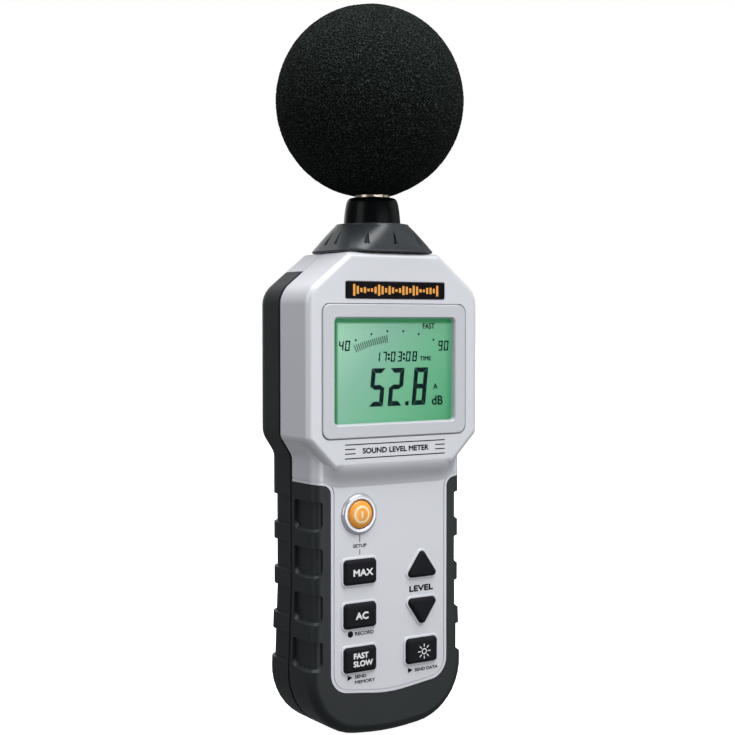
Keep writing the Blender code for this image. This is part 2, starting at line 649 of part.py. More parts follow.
def make_microphone():
    bore = TUBE_RADIUS + GAP
    boot = [(bore, BOOT_BOTTOM), (11.1, BOOT_BOTTOM), (11.1, 195.8), (10.55, 200.6), (10.1, 203.2)]
    boot += [(9.5, 204.8), (8.8, 205.6), (8.1, BOOT_TOP), (bore, BOOT_TOP)]
    finished(turned("neck_boot", boot, sides=32, closed=True), BLACK_PLASTIC)
    tube = [(6.0, TUBE_BOTTOM), (TUBE_RADIUS, TUBE_BOTTOM), (TUBE_RADIUS, TUBE_TOP), (6.0, TUBE_TOP)]
    finished(turned("mic_tube", tube, sides=32, closed=True), STEEL)
    nut = [(bore, 177.8), (NUT_RADIUS, 177.8), (NUT_RADIUS, 181.2), (bore, 181.2)]
    finished(turned("mic_clamp_nut", nut, closed=True), BRASS)
    capsule = [(0, TUBE_TOP + GAP), (6.4, TUBE_TOP + GAP), (6.6, TUBE_TOP + 0.6), (6.6, CAPSULE_TOP)]
    finished(turned("mic_capsule", capsule + [(0, CAPSULE_TOP)], sides=24), STEEL)
    low = CAPSULE_TOP + GAP
    grid = [(0, GRID_TOP), (6.1, GRID_TOP), (6.6, GRID_TOP - 0.5), (6.6, low), (5.8, low)]
    grid += [(5.8, GRID_TOP - 0.8), (0, GRID_TOP - 0.8)]
    grid = turned("mic_grid", grid, sides=24)
    for x in (-2.6, 0.0, 2.6):
        reach = math.sqrt(4.6 ** 2 - x ** 2)
        slot = box("slot", (x - 0.5, -reach, GRID_TOP - 2.0), (x + 0.5, reach, GRID_TOP + 1.0))
        cut(grid, slot)
    finished(grid, STEEL)


def make_windscreen():
    quarter_steps = 8
    start = math.asin(BALL_BORE / BALL_RADIUS)
    angles = [start + (math.pi / 2 - start) * step / quarter_steps for step in range(quarter_steps)]
    angles += [math.pi / 2 * (1 + step / quarter_steps) for step in range(quarter_steps)]
    profile = [(0, GRID_TOP + 1.0), (BALL_BORE, GRID_TOP + 1.0)]
    for angle in angles:
        profile.append((BALL_RADIUS * math.sin(angle), BALL_Z - BALL_HALF_HEIGHT * math.cos(angle)))
    profile.append((0, BALL_Z + BALL_HALF_HEIGHT))
    ball = turned("windscreen_foam", profile, sides=32)
    finished(ball, FOAM)
    origin_at(ball, 0, 0, BALL_Z)


def main():
    for obj in list(bpy.data.objects):
        bpy.data.objects.remove(obj, do_unlink=True)
    make_front_shell()
    make_front_grip_rubber()
    make_rear_shell()
    make_rear_grip_rubber()
    make_fasteners()
    make_display()
    make_keys()
    make_board()
    make_battery()
    make_collar()
    make_microphone()
    make_windscreen()


main()
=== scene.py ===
"""The looks of a handheld sound level meter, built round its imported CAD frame.

Lengths are millimetres unless they say otherwise, and every mesh is scaled to metres as it is made.
An outline lies in the XZ plane, and its depths are places along Y; the front faces -Y.
"""

from math import acos, asin, cos, pi, radians, sin, sqrt, tan

import bmesh
import bpy
import numpy as np
from mathutils import Matrix, Vector, noise


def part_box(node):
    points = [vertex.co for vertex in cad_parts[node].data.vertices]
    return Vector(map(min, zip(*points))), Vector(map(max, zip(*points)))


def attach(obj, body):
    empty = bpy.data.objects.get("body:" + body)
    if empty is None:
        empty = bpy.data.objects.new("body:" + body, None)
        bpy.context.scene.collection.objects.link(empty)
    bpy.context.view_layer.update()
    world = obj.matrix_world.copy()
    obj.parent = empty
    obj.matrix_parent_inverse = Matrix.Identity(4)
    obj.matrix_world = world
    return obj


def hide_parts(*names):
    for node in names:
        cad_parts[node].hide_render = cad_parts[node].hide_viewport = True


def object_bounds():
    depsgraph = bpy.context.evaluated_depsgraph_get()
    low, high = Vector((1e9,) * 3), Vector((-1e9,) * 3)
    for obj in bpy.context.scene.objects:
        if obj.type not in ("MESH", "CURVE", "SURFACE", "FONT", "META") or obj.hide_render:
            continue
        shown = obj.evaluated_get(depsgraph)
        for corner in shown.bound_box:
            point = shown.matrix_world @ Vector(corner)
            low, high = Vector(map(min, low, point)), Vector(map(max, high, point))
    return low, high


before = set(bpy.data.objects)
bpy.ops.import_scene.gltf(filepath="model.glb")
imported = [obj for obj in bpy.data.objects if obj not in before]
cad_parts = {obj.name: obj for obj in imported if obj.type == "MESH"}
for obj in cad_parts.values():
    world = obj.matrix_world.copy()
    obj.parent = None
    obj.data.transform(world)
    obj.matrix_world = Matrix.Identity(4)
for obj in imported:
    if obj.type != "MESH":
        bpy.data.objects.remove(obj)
cad_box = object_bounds()

MM = 0.001


def node_box(node):
    """A CAD node's lowest and highest corner."""
    low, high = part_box(node)
    return low / MM, high / MM


def centre_of(node):
    """A CAD node's middle in X and Z, on the plane y = 0."""
    low, high = node_box(node)
    return ((low.x + high.x) / 2, 0.0, (low.z + high.z) / 2)


# ---- places, from the frame

FRONT_LOW, FRONT_HIGH = node_box("front_shell")
REAR_LOW, REAR_HIGH = node_box("rear_shell")
HEAD_FRONT, SEAM_FRONT = FRONT_LOW.y, FRONT_HIGH.y
SEAM_BACK, BACK = REAR_LOW.y, REAR_HIGH.y
GRIP_FRONT = node_box("front_grip_rubber")[0].y
HALF_WIDTH, HEAD_TOP = FRONT_HIGH.x, FRONT_HIGH.z

# Case outlines: the right half, from top to bottom, as (x, z, corner radius)
BODY = [
    (20.3, HEAD_TOP, 2.0),
    (HALF_WIDTH, 169.0, 10.0),
    (HALF_WIDTH, 114.6, 9.0),
    (34.0, 107.0, 5.0),
    (33.9, 56.0, 0.0),
    (36.0, 3.0, 23.0),
    (0.0, -0.461, 100.0),
]
HEAD = [BODY[0], BODY[1], (HALF_WIDTH, 114.2, 3.5), (25.5, 100.6, 4.0)]
GRIP = [(HALF_WIDTH - 0.8, 135.0, 0.0), (HALF_WIDTH - 0.8, 113.5, 5.0)] + BODY[3:]
SILVER_AREA = [
    (48.0, 150.0, 0.0), (48.0, 98.9, 0.0), (26.8, 96.5, 3.6), (26.8, 18.6, 8.0), (0.0, 15.2, 60.0),
]
PANEL = [(26.8, 112.0, 0.0)] + SILVER_AREA[3:]
GRIP_CORNER = 4.0
HEAD_CORNER = 2.5
BACK_CORNER = 8.0

# The head's lower edge, and the soft step from there to the panel as (depth, inset)
LOWER_EDGE = [(60.0, 240.0, 0.0), (60.0, 100.6, 0.0)]
LOWER_EDGE_CORNER = 5.0
SOFT_HEAD = [BODY[0], BODY[1], (HALF_WIDTH, 114.2, 6.0), (25.5, 100.6, 9.0)]
STEP_BLEND = [(HEAD_FRONT + depth, inset) for depth, inset in (
    (0.02, 4.3), (0.16, 3.2), (0.50, 2.0), (1.0, 0.9), (1.6, -0.1),
    (2.2, -1.0), (2.75, -1.9), (3.25, -2.9), (3.6, -3.9), (3.82, -4.9),
)] + [(GRIP_FRONT + 1.2, -4.9)]

RUBBER = 2.4
GAP = 0.3
WALL = 2.4
CORE_INSET = RUBBER + GAP
CORE_BACK = BACK - 2.7
INNER_BACK = BACK - 4.7
REAR_RUBBER_TOP = 177.0
REAR_PANEL_INSET = 8.3
FAR = 60.0

HOLLOW_Z = [86.0, 68.5, 51.0, 33.5]
HOLLOW_HEIGHT = 11.0
HOLLOW_DEPTH = 1.2
FRONT_HOLLOW_X = 30.2
FRONT_HOLLOW_BACK = 1.9
FRONT_HOLLOW_DROP = 0.6
REAR_HOLLOW_FRONT = 6.0

COLUMN_X = 14.2
KEY_CLEARANCE = 0.18
KEY_FLANGE = 1.0
SCREW_HEAD_SEAT = 2.75
SCREW_BORE = 1.35
NECK_BORE = 7.3
CASE_SCREWS = ["case_screw_" + place for place in ("top_left", "top_right", "bottom_left", "bottom_right")]
INK_LIFT = 0.04  # how far printed marks stand off the surface


# ---- outlines and solids

def rounded_outline(corners, inset, steps):
    """A closed outline from its right half, moved inwards by inset, with rounded corners."""
    full = corners + [(-x, z, radius) for x, z, radius in reversed(corners) if x > 0]
    places = [Vector((x, z)) for x, z, _ in full]
    headings = [(after - here).normalized() for here, after in zip(places, places[1:] + places[:1])]
    points = []
    for index, (_, _, radius) in enumerate(full):
        before, after = headings[index - 1], headings[index]
        normal_before = Vector((before.y, -before.x))
        normal_after = Vector((after.y, -after.x))
        slide = (normal_before + normal_after) / (1 + normal_before.dot(normal_after))
        corner = places[index] + inset * slide
        if radius == 0:
            points.append(corner)
            continue
        outward_turn = before.cross(after) < 0
        radius = max(radius - inset if outward_turn else radius + inset, 0.12)
        turn = before.angle(after)
        start = corner - before * radius * tan(turn / 2)
        towards_centre = normal_before if outward_turn else -normal_before
        for step in range(steps + 1):
            angle = turn * step / steps
            along = before * radius * sin(angle)
            points.append(start + along + towards_centre * radius * (1 - cos(angle)))
    return [(point.x, point.y) for point in points]


def rectangle(half_width, low, high, radius):
    """Corners of a rounded rectangle that is centred on the Z axis."""
    return [(half_width, high, radius), (half_width, low, radius)]


def rectangle_of(node, radius, grow=0.0):
    """Corners of a CAD node's rectangle, centred on its own middle, and that middle."""
    low, high = node_box(node)
    middle = ((low.x + high.x) / 2, (low.z + high.z) / 2)
    half_height = (high.z - low.z) / 2 + grow
    return rectangle((high.x - low.x) / 2 + grow, -half_height, half_height, radius), middle


def quarter_turn(steps, first=0):
    """Sine and cosine at even steps through a quarter turn."""
    angles = [pi / 2 * step / steps for step in range(first, steps + 1)]
    return [(sin(angle), cos(angle)) for angle in angles]


def rounded_front(face, radius, back, inset=0.0, steps=8):
    """Depths and insets of a prism whose edge towards -Y is a quarter circle."""
    levels = [(face + radius * (1 - c), inset + radius * (1 - s)) for s, c in quarter_turn(steps)]
    return levels + [(back, inset)]


def in_scene(name, data):
    obj = bpy.data.objects.new(name, data)
    bpy.context.scene.collection.objects.link(obj)
    return obj


def mesh_object(bm):
    mesh = bpy.data.meshes.new("shape")
    bm.to_mesh(mesh)
    bm.free()
    return in_scene("shape", mesh)


def new_object(bm):
    """An object in metres from a closed mesh in millimetres."""
    bmesh.ops.recalc_face_normals(bm, faces=bm.faces)
    bmesh.ops.scale(bm, vec=(MM, MM, MM), verts=bm.verts)
    return mesh_object(bm)


def bridged(rings, closed=False):
    """A solid through rings of points; a ring of one point is a tip of the solid."""
    bm = bmesh.new()
    loops = [[bm.verts.new(point) for point in ring] for ring in rings]
    pairs = list(zip(loops, loops[1:]))
    if closed:
        pairs.append((loops[-1], loops[0]))
    for near, far in pairs:
        count = max(len(near), len(far))
        for index in range(count):
            after = (index + 1) % count
            if len(near) == 1:
                bm.faces.new((near[0], far[index], far[after]))
            elif len(far) == 1:
                bm.faces.new((near[index], near[after], far[0]))
            else:
                bm.faces.new((near[index], near[after], far[after], far[index]))
    if not closed:
        for loop in (loops[0], loops[-1]):
            if len(loop) > 2:
                bm.faces.new(loop)
    return new_object(bm)


def prism(corners, levels, centre=(0.0, 0.0), steps=10, closed=False):
    """A solid that follows one outline through (y, inset) levels."""
    rings = []
    for y, inset in levels:
        outline = rounded_outline(corners, inset, steps)
        rings.append([(x + centre[0], y, z + centre[1]) for x, z in outline])
    return bridged(rings, closed)


def straight(corners, start, end, inset=0.0, centre=(0.0, 0.0)):
    """A prism with the same outline from start to end."""
    return prism(corners, [(start, inset), (end, inset)], centre)


def seat(node, radius, grow, start=-FAR, end=None):
    """A straight cutter round a CAD node, ending just behind it or at end."""
    corners, middle = rectangle_of(node, radius, grow)
    end = node_box(node)[1].y + GAP if end is None else end
    return straight(corners, start, end, centre=middle)


def turned(profile, centre=(0.0, 0.0, 0.0), axis="Z", sides=96, closed=False):
    """A turned solid from (radius, height) points; heights run along the axis."""
    rings = []
    for radius, height in profile:
        ring = []
        for index in range(1 if radius == 0 else sides):
            angle = 2 * pi * index / sides
            across, along = radius * cos(angle), radius * sin(angle)
            local = (across, along, height) if axis == "Z" else (across, height, along)
            ring.append(tuple(a + b for a, b in zip(local, centre)))
        rings.append(ring)
    return bridged(rings, closed)


def rod(radius, low, high, centre, axis="Y", sides=48):
    return turned([(radius, low), (radius, high)], centre, axis, sides)


def block(low, high):
    bm = bmesh.new()
    bmesh.ops.create_cube(bm, size=1.0)
    bmesh.ops.scale(bm, vec=Vector(high) - Vector(low), verts=bm.verts)
    bmesh.ops.translate(bm, vec=(Vector(high) + Vector(low)) / 2, verts=bm.verts)
    return new_object(bm)


def evaluated(obj):
    return bpy.data.meshes.new_from_object(obj.evaluated_get(bpy.context.evaluated_depsgraph_get()))


def combine(target, operation, *others):
    """Joins others to the target, or takes them from it, and removes them."""
    for other in others:
        modifier = target.modifiers.new("Boolean", "BOOLEAN")
        modifier.operation = operation
        modifier.object = other
        mesh = evaluated(target)
        target.modifiers.clear()
        target.data = mesh
        bpy.data.objects.remove(other)
    return target


def cut(target, *cutters):
    return combine(target, "DIFFERENCE", *cutters)


def unite(target, *others):
    return combine(target, "UNION", *others)


def smoothed(obj, angle=30, edge=0.0):
    """Smooth shading with crisp edges and true flat faces, and a fine rounding of width edge."""
    obj.data.shade_smooth()
    obj.data.set_sharp_from_angle(angle=radians(angle))
    if edge:
        bevel = obj.modifiers.new("Bevel", "BEVEL")
        bevel.width = edge * MM
        bevel.segments = 2
        bevel.angle_limit = radians(angle)
        bevel.harden_normals = True
    if angle < 180:
        flat = obj.modifiers.new("Flat faces", "WEIGHTED_NORMAL")
        flat.keep_sharp = True
        flat.weight = 100
    return obj


def joined(objects):
    bm = bmesh.new()
    for obj in objects:
        bm.from_mesh(obj.data)
        bpy.data.objects.remove(obj)
    return mesh_object(bm)


def set_look(obj, look):
    obj.data.materials.clear()
    obj.data.materials.append(LOOKS[look])


def placed(obj, name, body, slot, look, *replaces):
    """Gives a piece its name, its material and the body that it rides on."""
    obj.name = obj.data.name = name
    set_look(obj, look)
    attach(obj, body)
    if replaces:
        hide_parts(*replaces)


# ---- camera, lights and floor

LENS = 68.4
CAMERA_PLACE = (-0.2979, -0.4555, 0.1577)  # metres
CAMERA_YAW = radians(-33.0)
CAMERA_PITCH = radians(-1.85)
GLOW = 0.20
WHITE = (1.0, 1.0, 1.0, 1.0)
FLOOR_GREY = (0.92, 0.92, 0.92, 1.0)
FLOOR_RADIUS = 9000.0
FLOOR_DROP = 0.0002  # metres

# Area lights: name, place, what it points at, size and power, in metres and watts
MIDDLE = (0.0, 0.0, 0.14)
LIGHTS = [
    ("top", (-0.10, -0.05, 1.15), MIDDLE, (0.8, 0.7), 12.0),
    ("high_front", (0.20, -0.62, 1.05), (0.0, 0.0, 0.17), (0.9, 0.5), 8.5),
    ("front_fill", (0.30, -1.30, 0.10), MIDDLE, (1.2, 0.9), 6.8),
    ("left_fill", (-1.20, -0.10, 0.45), MIDDLE, (0.6, 0.9), 3.6),
    ("right_fill", (1.10, -0.35, 0.30), MIDDLE, (0.8, 1.0), 1.4),
    ("back", (0.2, 1.1, 0.5), MIDDLE, (1.0, 0.9), 2.5),
]


def make_camera():
    data = bpy.data.cameras.new("camera")
    data.lens = LENS
    data.clip_start = 0.01
    camera = in_scene("camera", data)
    camera.location = CAMERA_PLACE
    camera.rotation_euler = (pi / 2 + CAMERA_PITCH, 0.0, CAMERA_YAW)
    bpy.context.scene.camera = camera


def area_light(name, place, target, size, power):
    data = bpy.data.lights.new(name, "AREA")
    data.shape = "RECTANGLE"
    data.size, data.size_y = size
    data.energy = power
    light = in_scene(name, data)
    light.location = place
    aim = Vector(target) - Vector(place)
    light.rotation_euler = aim.to_track_quat("-Z", "Y").to_euler()


def put(socket, value):
    """Links an output to a socket, or sets the socket's own value."""
    if isinstance(value, bpy.types.NodeSocket):
        socket.id_data.links.new(value, socket)
    else:
        socket.default_value = value


def fill(node, **sockets):
    """Puts values into sockets, named with _ for each space."""
    for name, value in sockets.items():
        put(node.inputs[name.replace("_", " ")], value)
    return node


def make_world():
    """A backdrop that looks white and lights the object more dimly."""
    world = bpy.data.worlds.new("studio")
    world.use_nodes = True
    nodes = world.node_tree.nodes
    seen = fill(nodes["Background"], Color=WHITE, Strength=1.0)
    glow = fill(nodes.new("ShaderNodeBackground"), Color=(0.96, 0.98, 1.0, 1.0), Strength=GLOW)
    path = nodes.new("ShaderNodeLightPath")
    mix = fill(nodes.new("ShaderNodeMixShader"), Fac=path.outputs["Is Camera Ray"])
    put(mix.inputs[1], glow.outputs[0])
    put(mix.inputs[2], seen.outputs[0])
    fill(nodes["World Output"], Surface=mix.outputs[0])
    bpy.context.scene.world = world
    bpy.context.scene.view_settings.view_transform = "Standard"


def make_floor():
    bm = bmesh.new()
    bmesh.ops.create_circle(bm, cap_ends=True, segments=96, radius=FLOOR_RADIUS)
    floor = new_object(bm)
    floor.name = "floor"
    floor.visible_diffuse = False
    floor.visible_glossy = False
    floor.location.z = cad_box[0][2] - FLOOR_DROP
    material = bpy.data.materials.new("floor")
    material.use_nodes = True
    fill(
        material.node_tree.nodes["Principled BSDF"], Base_Color=FLOOR_GREY, Roughness=0.9,
        Specular_IOR_Level=0.1, Emission_Color=WHITE, Emission_Strength=0.92,
    )
    floor.data.materials.append(material)


# ---- materials

LOOKS = {}


class Look:
    """A material under construction, with its shader and object coordinates."""

    def __init__(self, name, colour, roughness, metallic=0.0, specular=0.5, alpha=1.0):
        material = bpy.data.materials.new(name)
        material.use_nodes = True
        LOOKS[name] = material
        self.tree = material.node_tree
        self.shader = fill(
            self.tree.nodes["Principled BSDF"], Base_Color=(*colour, 1.0), Roughness=roughness,
            Metallic=metallic, Specular_IOR_Level=specular, Alpha=alpha,
        )
        self.colour = colour
        self.roughness = roughness
        self.place = self.node("TexCoord").node.outputs["Object"]
        self.normal = None

    def node(self, kind, operation=None, **sockets):
        """A new shader node's first output, with its sockets filled."""
        node = self.tree.nodes.new("ShaderNode" + kind)
        if operation:
            node.operation = operation
        return fill(node, **sockets).outputs[0]

    def shade(self, **sockets):
        fill(self.shader, **sockets)
        return self

    def noise(self, scale, detail=3.0):
        """Noise over the object, at scale features to the metre."""
        return self.node("TexNoise", Vector=self.place, Scale=scale, Detail=detail, Roughness=0.55)

    def cells(self, scale):
        return self.node("TexVoronoi", Vector=self.place, Scale=scale)

    def ramp(self, factor, stops):
        """A colour ramp from (place, colour) stops."""
        colour = self.node("ValToRGB", Fac=factor)
        elements = colour.node.color_ramp.elements
        while len(elements) < len(stops):
            elements.new(0.5)
        for element, (place, stop_colour) in zip(elements, stops):
            element.position = place
            element.color = (*stop_colour, 1.0)
        return colour

    def mottle(self, scale, amount, detail=3.0):
        """Lets the colour drift lighter and darker over the surface."""
        dark = tuple(channel * (1 - amount) for channel in self.colour)
        light = tuple(min(channel * (1 + amount), 1.0) for channel in self.colour)
        return self.shade(Base_Color=self.ramp(self.noise(scale, detail), [(0.30, dark), (0.70, light)]))

    def gloss(self, scale, spread):
        low, high = max(self.roughness - spread, 0.02), min(self.roughness + spread, 1.0)
        return self.shade(Roughness=self.node("MapRange", Value=self.noise(scale), To_Min=low, To_Max=high))

    def grain(self, scale, depth, strength=0.6, cells=False):
        """Adds fine relief, depth metres deep."""
        height = self.cells(scale) if cells else self.noise(scale)
        below = {"Normal": self.normal} if self.normal else {}
        self.normal = self.node("Bump", Strength=strength, Distance=depth, Height=height, **below)
        return self.shade(Normal=self.normal)


def make_looks():
    silver = Look("silver_paint", (0.655, 0.67, 0.715), 0.42, 0.15)
    silver.mottle(9000, 0.035, 2).gloss(40, 0.04).grain(5200, 0.00002, 0.35)
    # a darker copy of the silver paint for the rear case and battery cover: painted shade
    Look("shaded_silver_paint", (0.60, 0.615, 0.655), 0.42, 0.15).mottle(9000, 0.035, 2).grain(5200, 0.00002, 0.35)
    # a darker copy of the silver paint for the bezel: painted shade
    Look("shaded_bezel_paint", (0.55, 0.565, 0.605), 0.40, 0.15).mottle(9000, 0.03, 2).grain(5200, 0.000015, 0.3)
    rubber = Look("grip_rubber", (0.0090, 0.0130, 0.0148), 0.48, specular=0.42)
    rubber.mottle(25, 0.12).gloss(60, 0.06).grain(3800, 0.00003, 0.5)
    black = Look("gloss_black", (0.002, 0.003, 0.0035), 0.24, specular=0.10)
    black.mottle(30, 0.15).gloss(70, 0.05).grain(4200, 0.00001, 0.3)
    collar = Look("collar_plastic", (0.038, 0.046, 0.053), 0.30)
    collar.mottle(60, 0.10).gloss(90, 0.05).grain(4200, 0.00002, 0.4)
    key = Look("key_rubber", (0.0085, 0.009, 0.012), 0.60, specular=0.12)
    key.mottle(5200, 0.40, 2).grain(3000, 0.00005, 0.8, cells=True)
    Look("ring_paint", (0.62, 0.63, 0.67), 0.22, 0.55).mottle(300, 0.03).gloss(400, 0.04)
    Look("orange_plastic", (0.95, 0.37, 0.045), 0.30).mottle(350, 0.08).gloss(300, 0.05)
    Look("cream_print", (0.95, 0.80, 0.48), 0.45).mottle(900, 0.03)
    Look("white_print", (0.80, 0.81, 0.82), 0.55).mottle(2500, 0.05)
    Look("black_print", (0.005, 0.005, 0.007), 0.60, specular=0.10).mottle(2500, 0.20)
    Look("orange_print", (0.85, 0.36, 0.05), 0.45).mottle(1500, 0.06)
    plate = Look("plate_black", (0.003, 0.0015, 0.003), 0.30, specular=0.06)
    plate.mottle(200, 0.2).gloss(200, 0.05)
    Look("lcd_ink", (0.001, 0.014, 0.016), 0.50, specular=0.04).mottle(700, 0.15)
    Look("lcd_ink_soft", (0.012, 0.080, 0.055), 0.40).mottle(700, 0.10)
    Look("white_plastic", (0.72, 0.72, 0.68), 0.50).mottle(80, 0.04).grain(2500, 0.00002)
    Look("board_green", (0.015, 0.13, 0.05), 0.35).mottle(400, 0.20).grain(1500, 0.00002)
    steel = Look("brushed_steel", (0.52, 0.51, 0.49), 0.30, 1.0)
    steel.mottle(500, 0.08).gloss(900, 0.08).grain(3000, 0.00001)
    Look("warm_metal", (0.66, 0.58, 0.50), 0.22, 1.0).mottle(500, 0.10).gloss(900, 0.06)
    Look("brass", (0.70, 0.47, 0.18), 0.30, 1.0).mottle(500, 0.08).gloss(900, 0.08)
    Look("red_wire", (0.45, 0.02, 0.02), 0.45).mottle(300, 0.10)
    Look("black_wire", (0.012, 0.012, 0.013), 0.45).mottle(300, 0.15)
    Look("clear_window", (0.02, 0.03, 0.025), 0.05, alpha=0.03).mottle(50, 0.05)
    lcd_look()
    foam_look()


def lcd_look():
    """Green lit glass: pale at the upper left with a painted highlight, deeper at the lower right, and a
    painted shadow of the bezel dark along the top and left edges.
    """
    look = Look("lcd_glow", (0.07, 0.16, 0.09), 0.30, specular=0.2)
    low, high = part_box("lcd_panel")
    place = look.node("SeparateXYZ", Vector=look.place).node.outputs

    def span(axis, start, end):
        """How far along an axis a point is, from 0 at start to 1 at end, in metres."""
        return look.node("MapRange", Value=place[axis], From_Min=start, From_Max=end)

    def maths(operation, *values):
        output = look.node("Math", operation)
        for socket, value in zip(output.node.inputs, values):
            put(socket, value)
        return output

    # painted highlight: the green is palest at the upper left and deepens towards the lower right
    down = maths("MULTIPLY", span("Z", high.z, low.z), 0.38)
    lit = look.ramp(maths("MULTIPLY_ADD", span("X", low.x, high.x), 0.62, down), [
        (0.05, (0.366, 0.672, 0.479)),
        (0.37, (0.209, 0.462, 0.332)),
        (0.62, (0.138, 0.429, 0.242)),
        (0.95, (0.070, 0.337, 0.162)),
    ])
    # painted shadow of the bezel: a darker green band along the top and left edges
    edge = maths("MAXIMUM", span("Z", 0.1570, 0.1578), span("X", -0.0238, -0.0248))
    colour = look.node("MixRGB", Fac=edge, Color1=lit, Color2=(0.018, 0.200, 0.065, 1.0))
    paler = look.node("VectorMath", "SCALE", Vector=colour, Scale=0.35)
    # the backlight glows in these colours, the painted highlight and shadow included
    look.shade(Base_Color=paler, Emission_Color=colour, Emission_Strength=0.78)


def foam_look():
    """Open-cell foam: dark pits of painted shade between slightly paler cell walls with a painted
    highlight.
    """
    look = Look("foam", (0.006, 0.009, 0.008), 0.95, specular=0.08)
    # the dark stop is painted shade in the pits, the wall stop a painted highlight on the cell walls
    dark, middle, wall = (0.0006, 0.0010, 0.0008), (0.0042, 0.0062, 0.0053), (0.040, 0.052, 0.045)
    look.shade(Base_Color=look.ramp(look.cells(1700), [(0.10, dark), (0.50, middle), (1.00, wall)]))
    look.grain(1700, 0.0005, 1.0, cells=True).grain(3000, 0.00015, 0.5)


# ---- case

def keys_layout():
    """Every key: CAD node, its body, its outline about its own centre, and that centre."""
    low, high = node_box("key_max")
    half_width = (high.x - low.x) / 2 - KEY_FLANGE
    half_height = (high.z - low.z) / 2 - KEY_FLANGE
    corner = 1.4
    square = rectangle(half_width - 0.05, -half_height - 0.05, half_height - 0.85, corner)
    low_square = rectangle(half_width - 0.05, -half_height - 0.25, half_height - 0.8, corner)
    arrow_up = [(0.0, 5.7, 1.5), (7.7, -5.3, 1.5)]
    arrow_down = [(7.7, 4.55, 1.5), (0.0, -6.5, 1.5)]
    arrow_shift, arrow_reach = 0.3, 5.15
    layout = []
    for name, corners in (
        ("max", square), ("weighting", square), ("response", square),
        ("backlight", low_square), ("level_up", arrow_up), ("level_down", arrow_down),
    ):
        low, high = node_box("key_" + name)
        x, z = (low.x + high.x) / 2, (low.z + high.z) / 2
        if corners is arrow_up:
            x, z = x + arrow_shift, low.z + KEY_FLANGE + arrow_reach
        if corners is arrow_down:
            x, z = x + arrow_shift, high.z - KEY_FLANGE - arrow_reach
        layout.append(("key_" + name, name + "_key", corners, (x, z)))
    return layout


KEYS = keys_layout()


def grip_skin(depth=0.0):
    """The grip's front half, or a surface depth inside it."""
    return prism(GRIP, rounded_front(GRIP_FRONT + depth, GRIP_CORNER - depth, SEAM_FRONT, depth))


def rounded_back(front, depth=0.0):
    """Depths and insets of the case's rear half, or of a surface depth inside it, ending at front."""
    levels = rounded_front(depth - BACK, BACK_CORNER - depth, -front, depth, steps=10)
    return [(-y, inset) for y, inset in levels]


def neck_hole():
    return rod(NECK_BORE, HEAD_TOP - 8, HEAD_TOP + 8, (0, 0, 0), "Z")


def make_front_case():
    shell = prism(HEAD, rounded_front(HEAD_FRONT, HEAD_CORNER, SEAM_FRONT))
    softener = rounded_front(HEAD_FRONT - 0.02, LOWER_EDGE_CORNER, FAR)
    combine(shell, "INTERSECT", prism(LOWER_EDGE, softener))
    grip = grip_skin()
    combine(grip, "INTERSECT", straight(SILVER_AREA, -FAR, FAR, 0.15))
    groove = prism(SILVER_AREA, [(-FAR, 1.25), (FAR, 1.25), (FAR, 1.62), (-FAR, 1.62)], closed=True)
    unite(shell, cut(grip, cut(groove, grip_skin(0.35))))
    core = [(GRIP_FRONT + CORE_INSET, CORE_INSET + 2.0), (-8.2, CORE_INSET), (SEAM_FRONT, CORE_INSET)]
    unite(shell, prism(GRIP, core), straight(PANEL, GRIP_FRONT + 1.0, -9.4, 0.2))
    blend = prism(SOFT_HEAD, STEP_BLEND)
    within = [(HEAD_FRONT - 1.0, GRIP_CORNER + 1.6)] + rounded_front(GRIP_FRONT, GRIP_CORNER, 0.0, 0.05)
    unite(shell, combine(blend, "INTERSECT", prism(GRIP, within)))
    rim = [(GRIP_FRONT - 0.42, -0.55), (GRIP_FRONT - 0.34, -0.85), (GRIP_FRONT + 0.3, -1.25)]
    unite(shell, *[prism(corners, rim, centre) for _, _, corners, centre in KEYS])
    inner = node_box("keypad_mat")[0].y - 2.6
    cut(  # the room inside, then the seats of the display and the badge
        shell,
        straight(HEAD, inner, FAR, WALL),
        straight(PANEL, inner, -7.0, 1.6),
        prism(GRIP, [(-8.2, 6.9), (-6.4, 4.9), (FAR, 4.9)]),
        seat("display_bezel", 3.5, GAP),
        seat("display_lens", 1.5, 0.5, end=0),
        seat("name_plate", 0.8, 0.25),
    )
    cut(shell, *[straight(corners, -FAR, 0.0, -KEY_CLEARANCE, centre) for _, _, corners, centre in KEYS])
    low, high = node_box("power_ring")
    ring_radius = (high.x - low.x) / 2
    power = centre_of("power_ring")
    cut(
        shell,
        rod(ring_radius + 0.12, -FAR, high.y + 0.3, power, sides=96),
        rod(ring_radius - 2.3, -FAR, 0.0, power, sides=96),
        neck_hole(),
    )
    placed(smoothed(shell, 28), "front_case", "case", "silver_shell", "silver_paint", "front_shell")


def grip_half_width(z):
    """Half the width of the grip at a height within its straight part."""
    widths, heights, _ = zip(*reversed(BODY[3:6]))
    return float(np.interp(z, heights, widths))


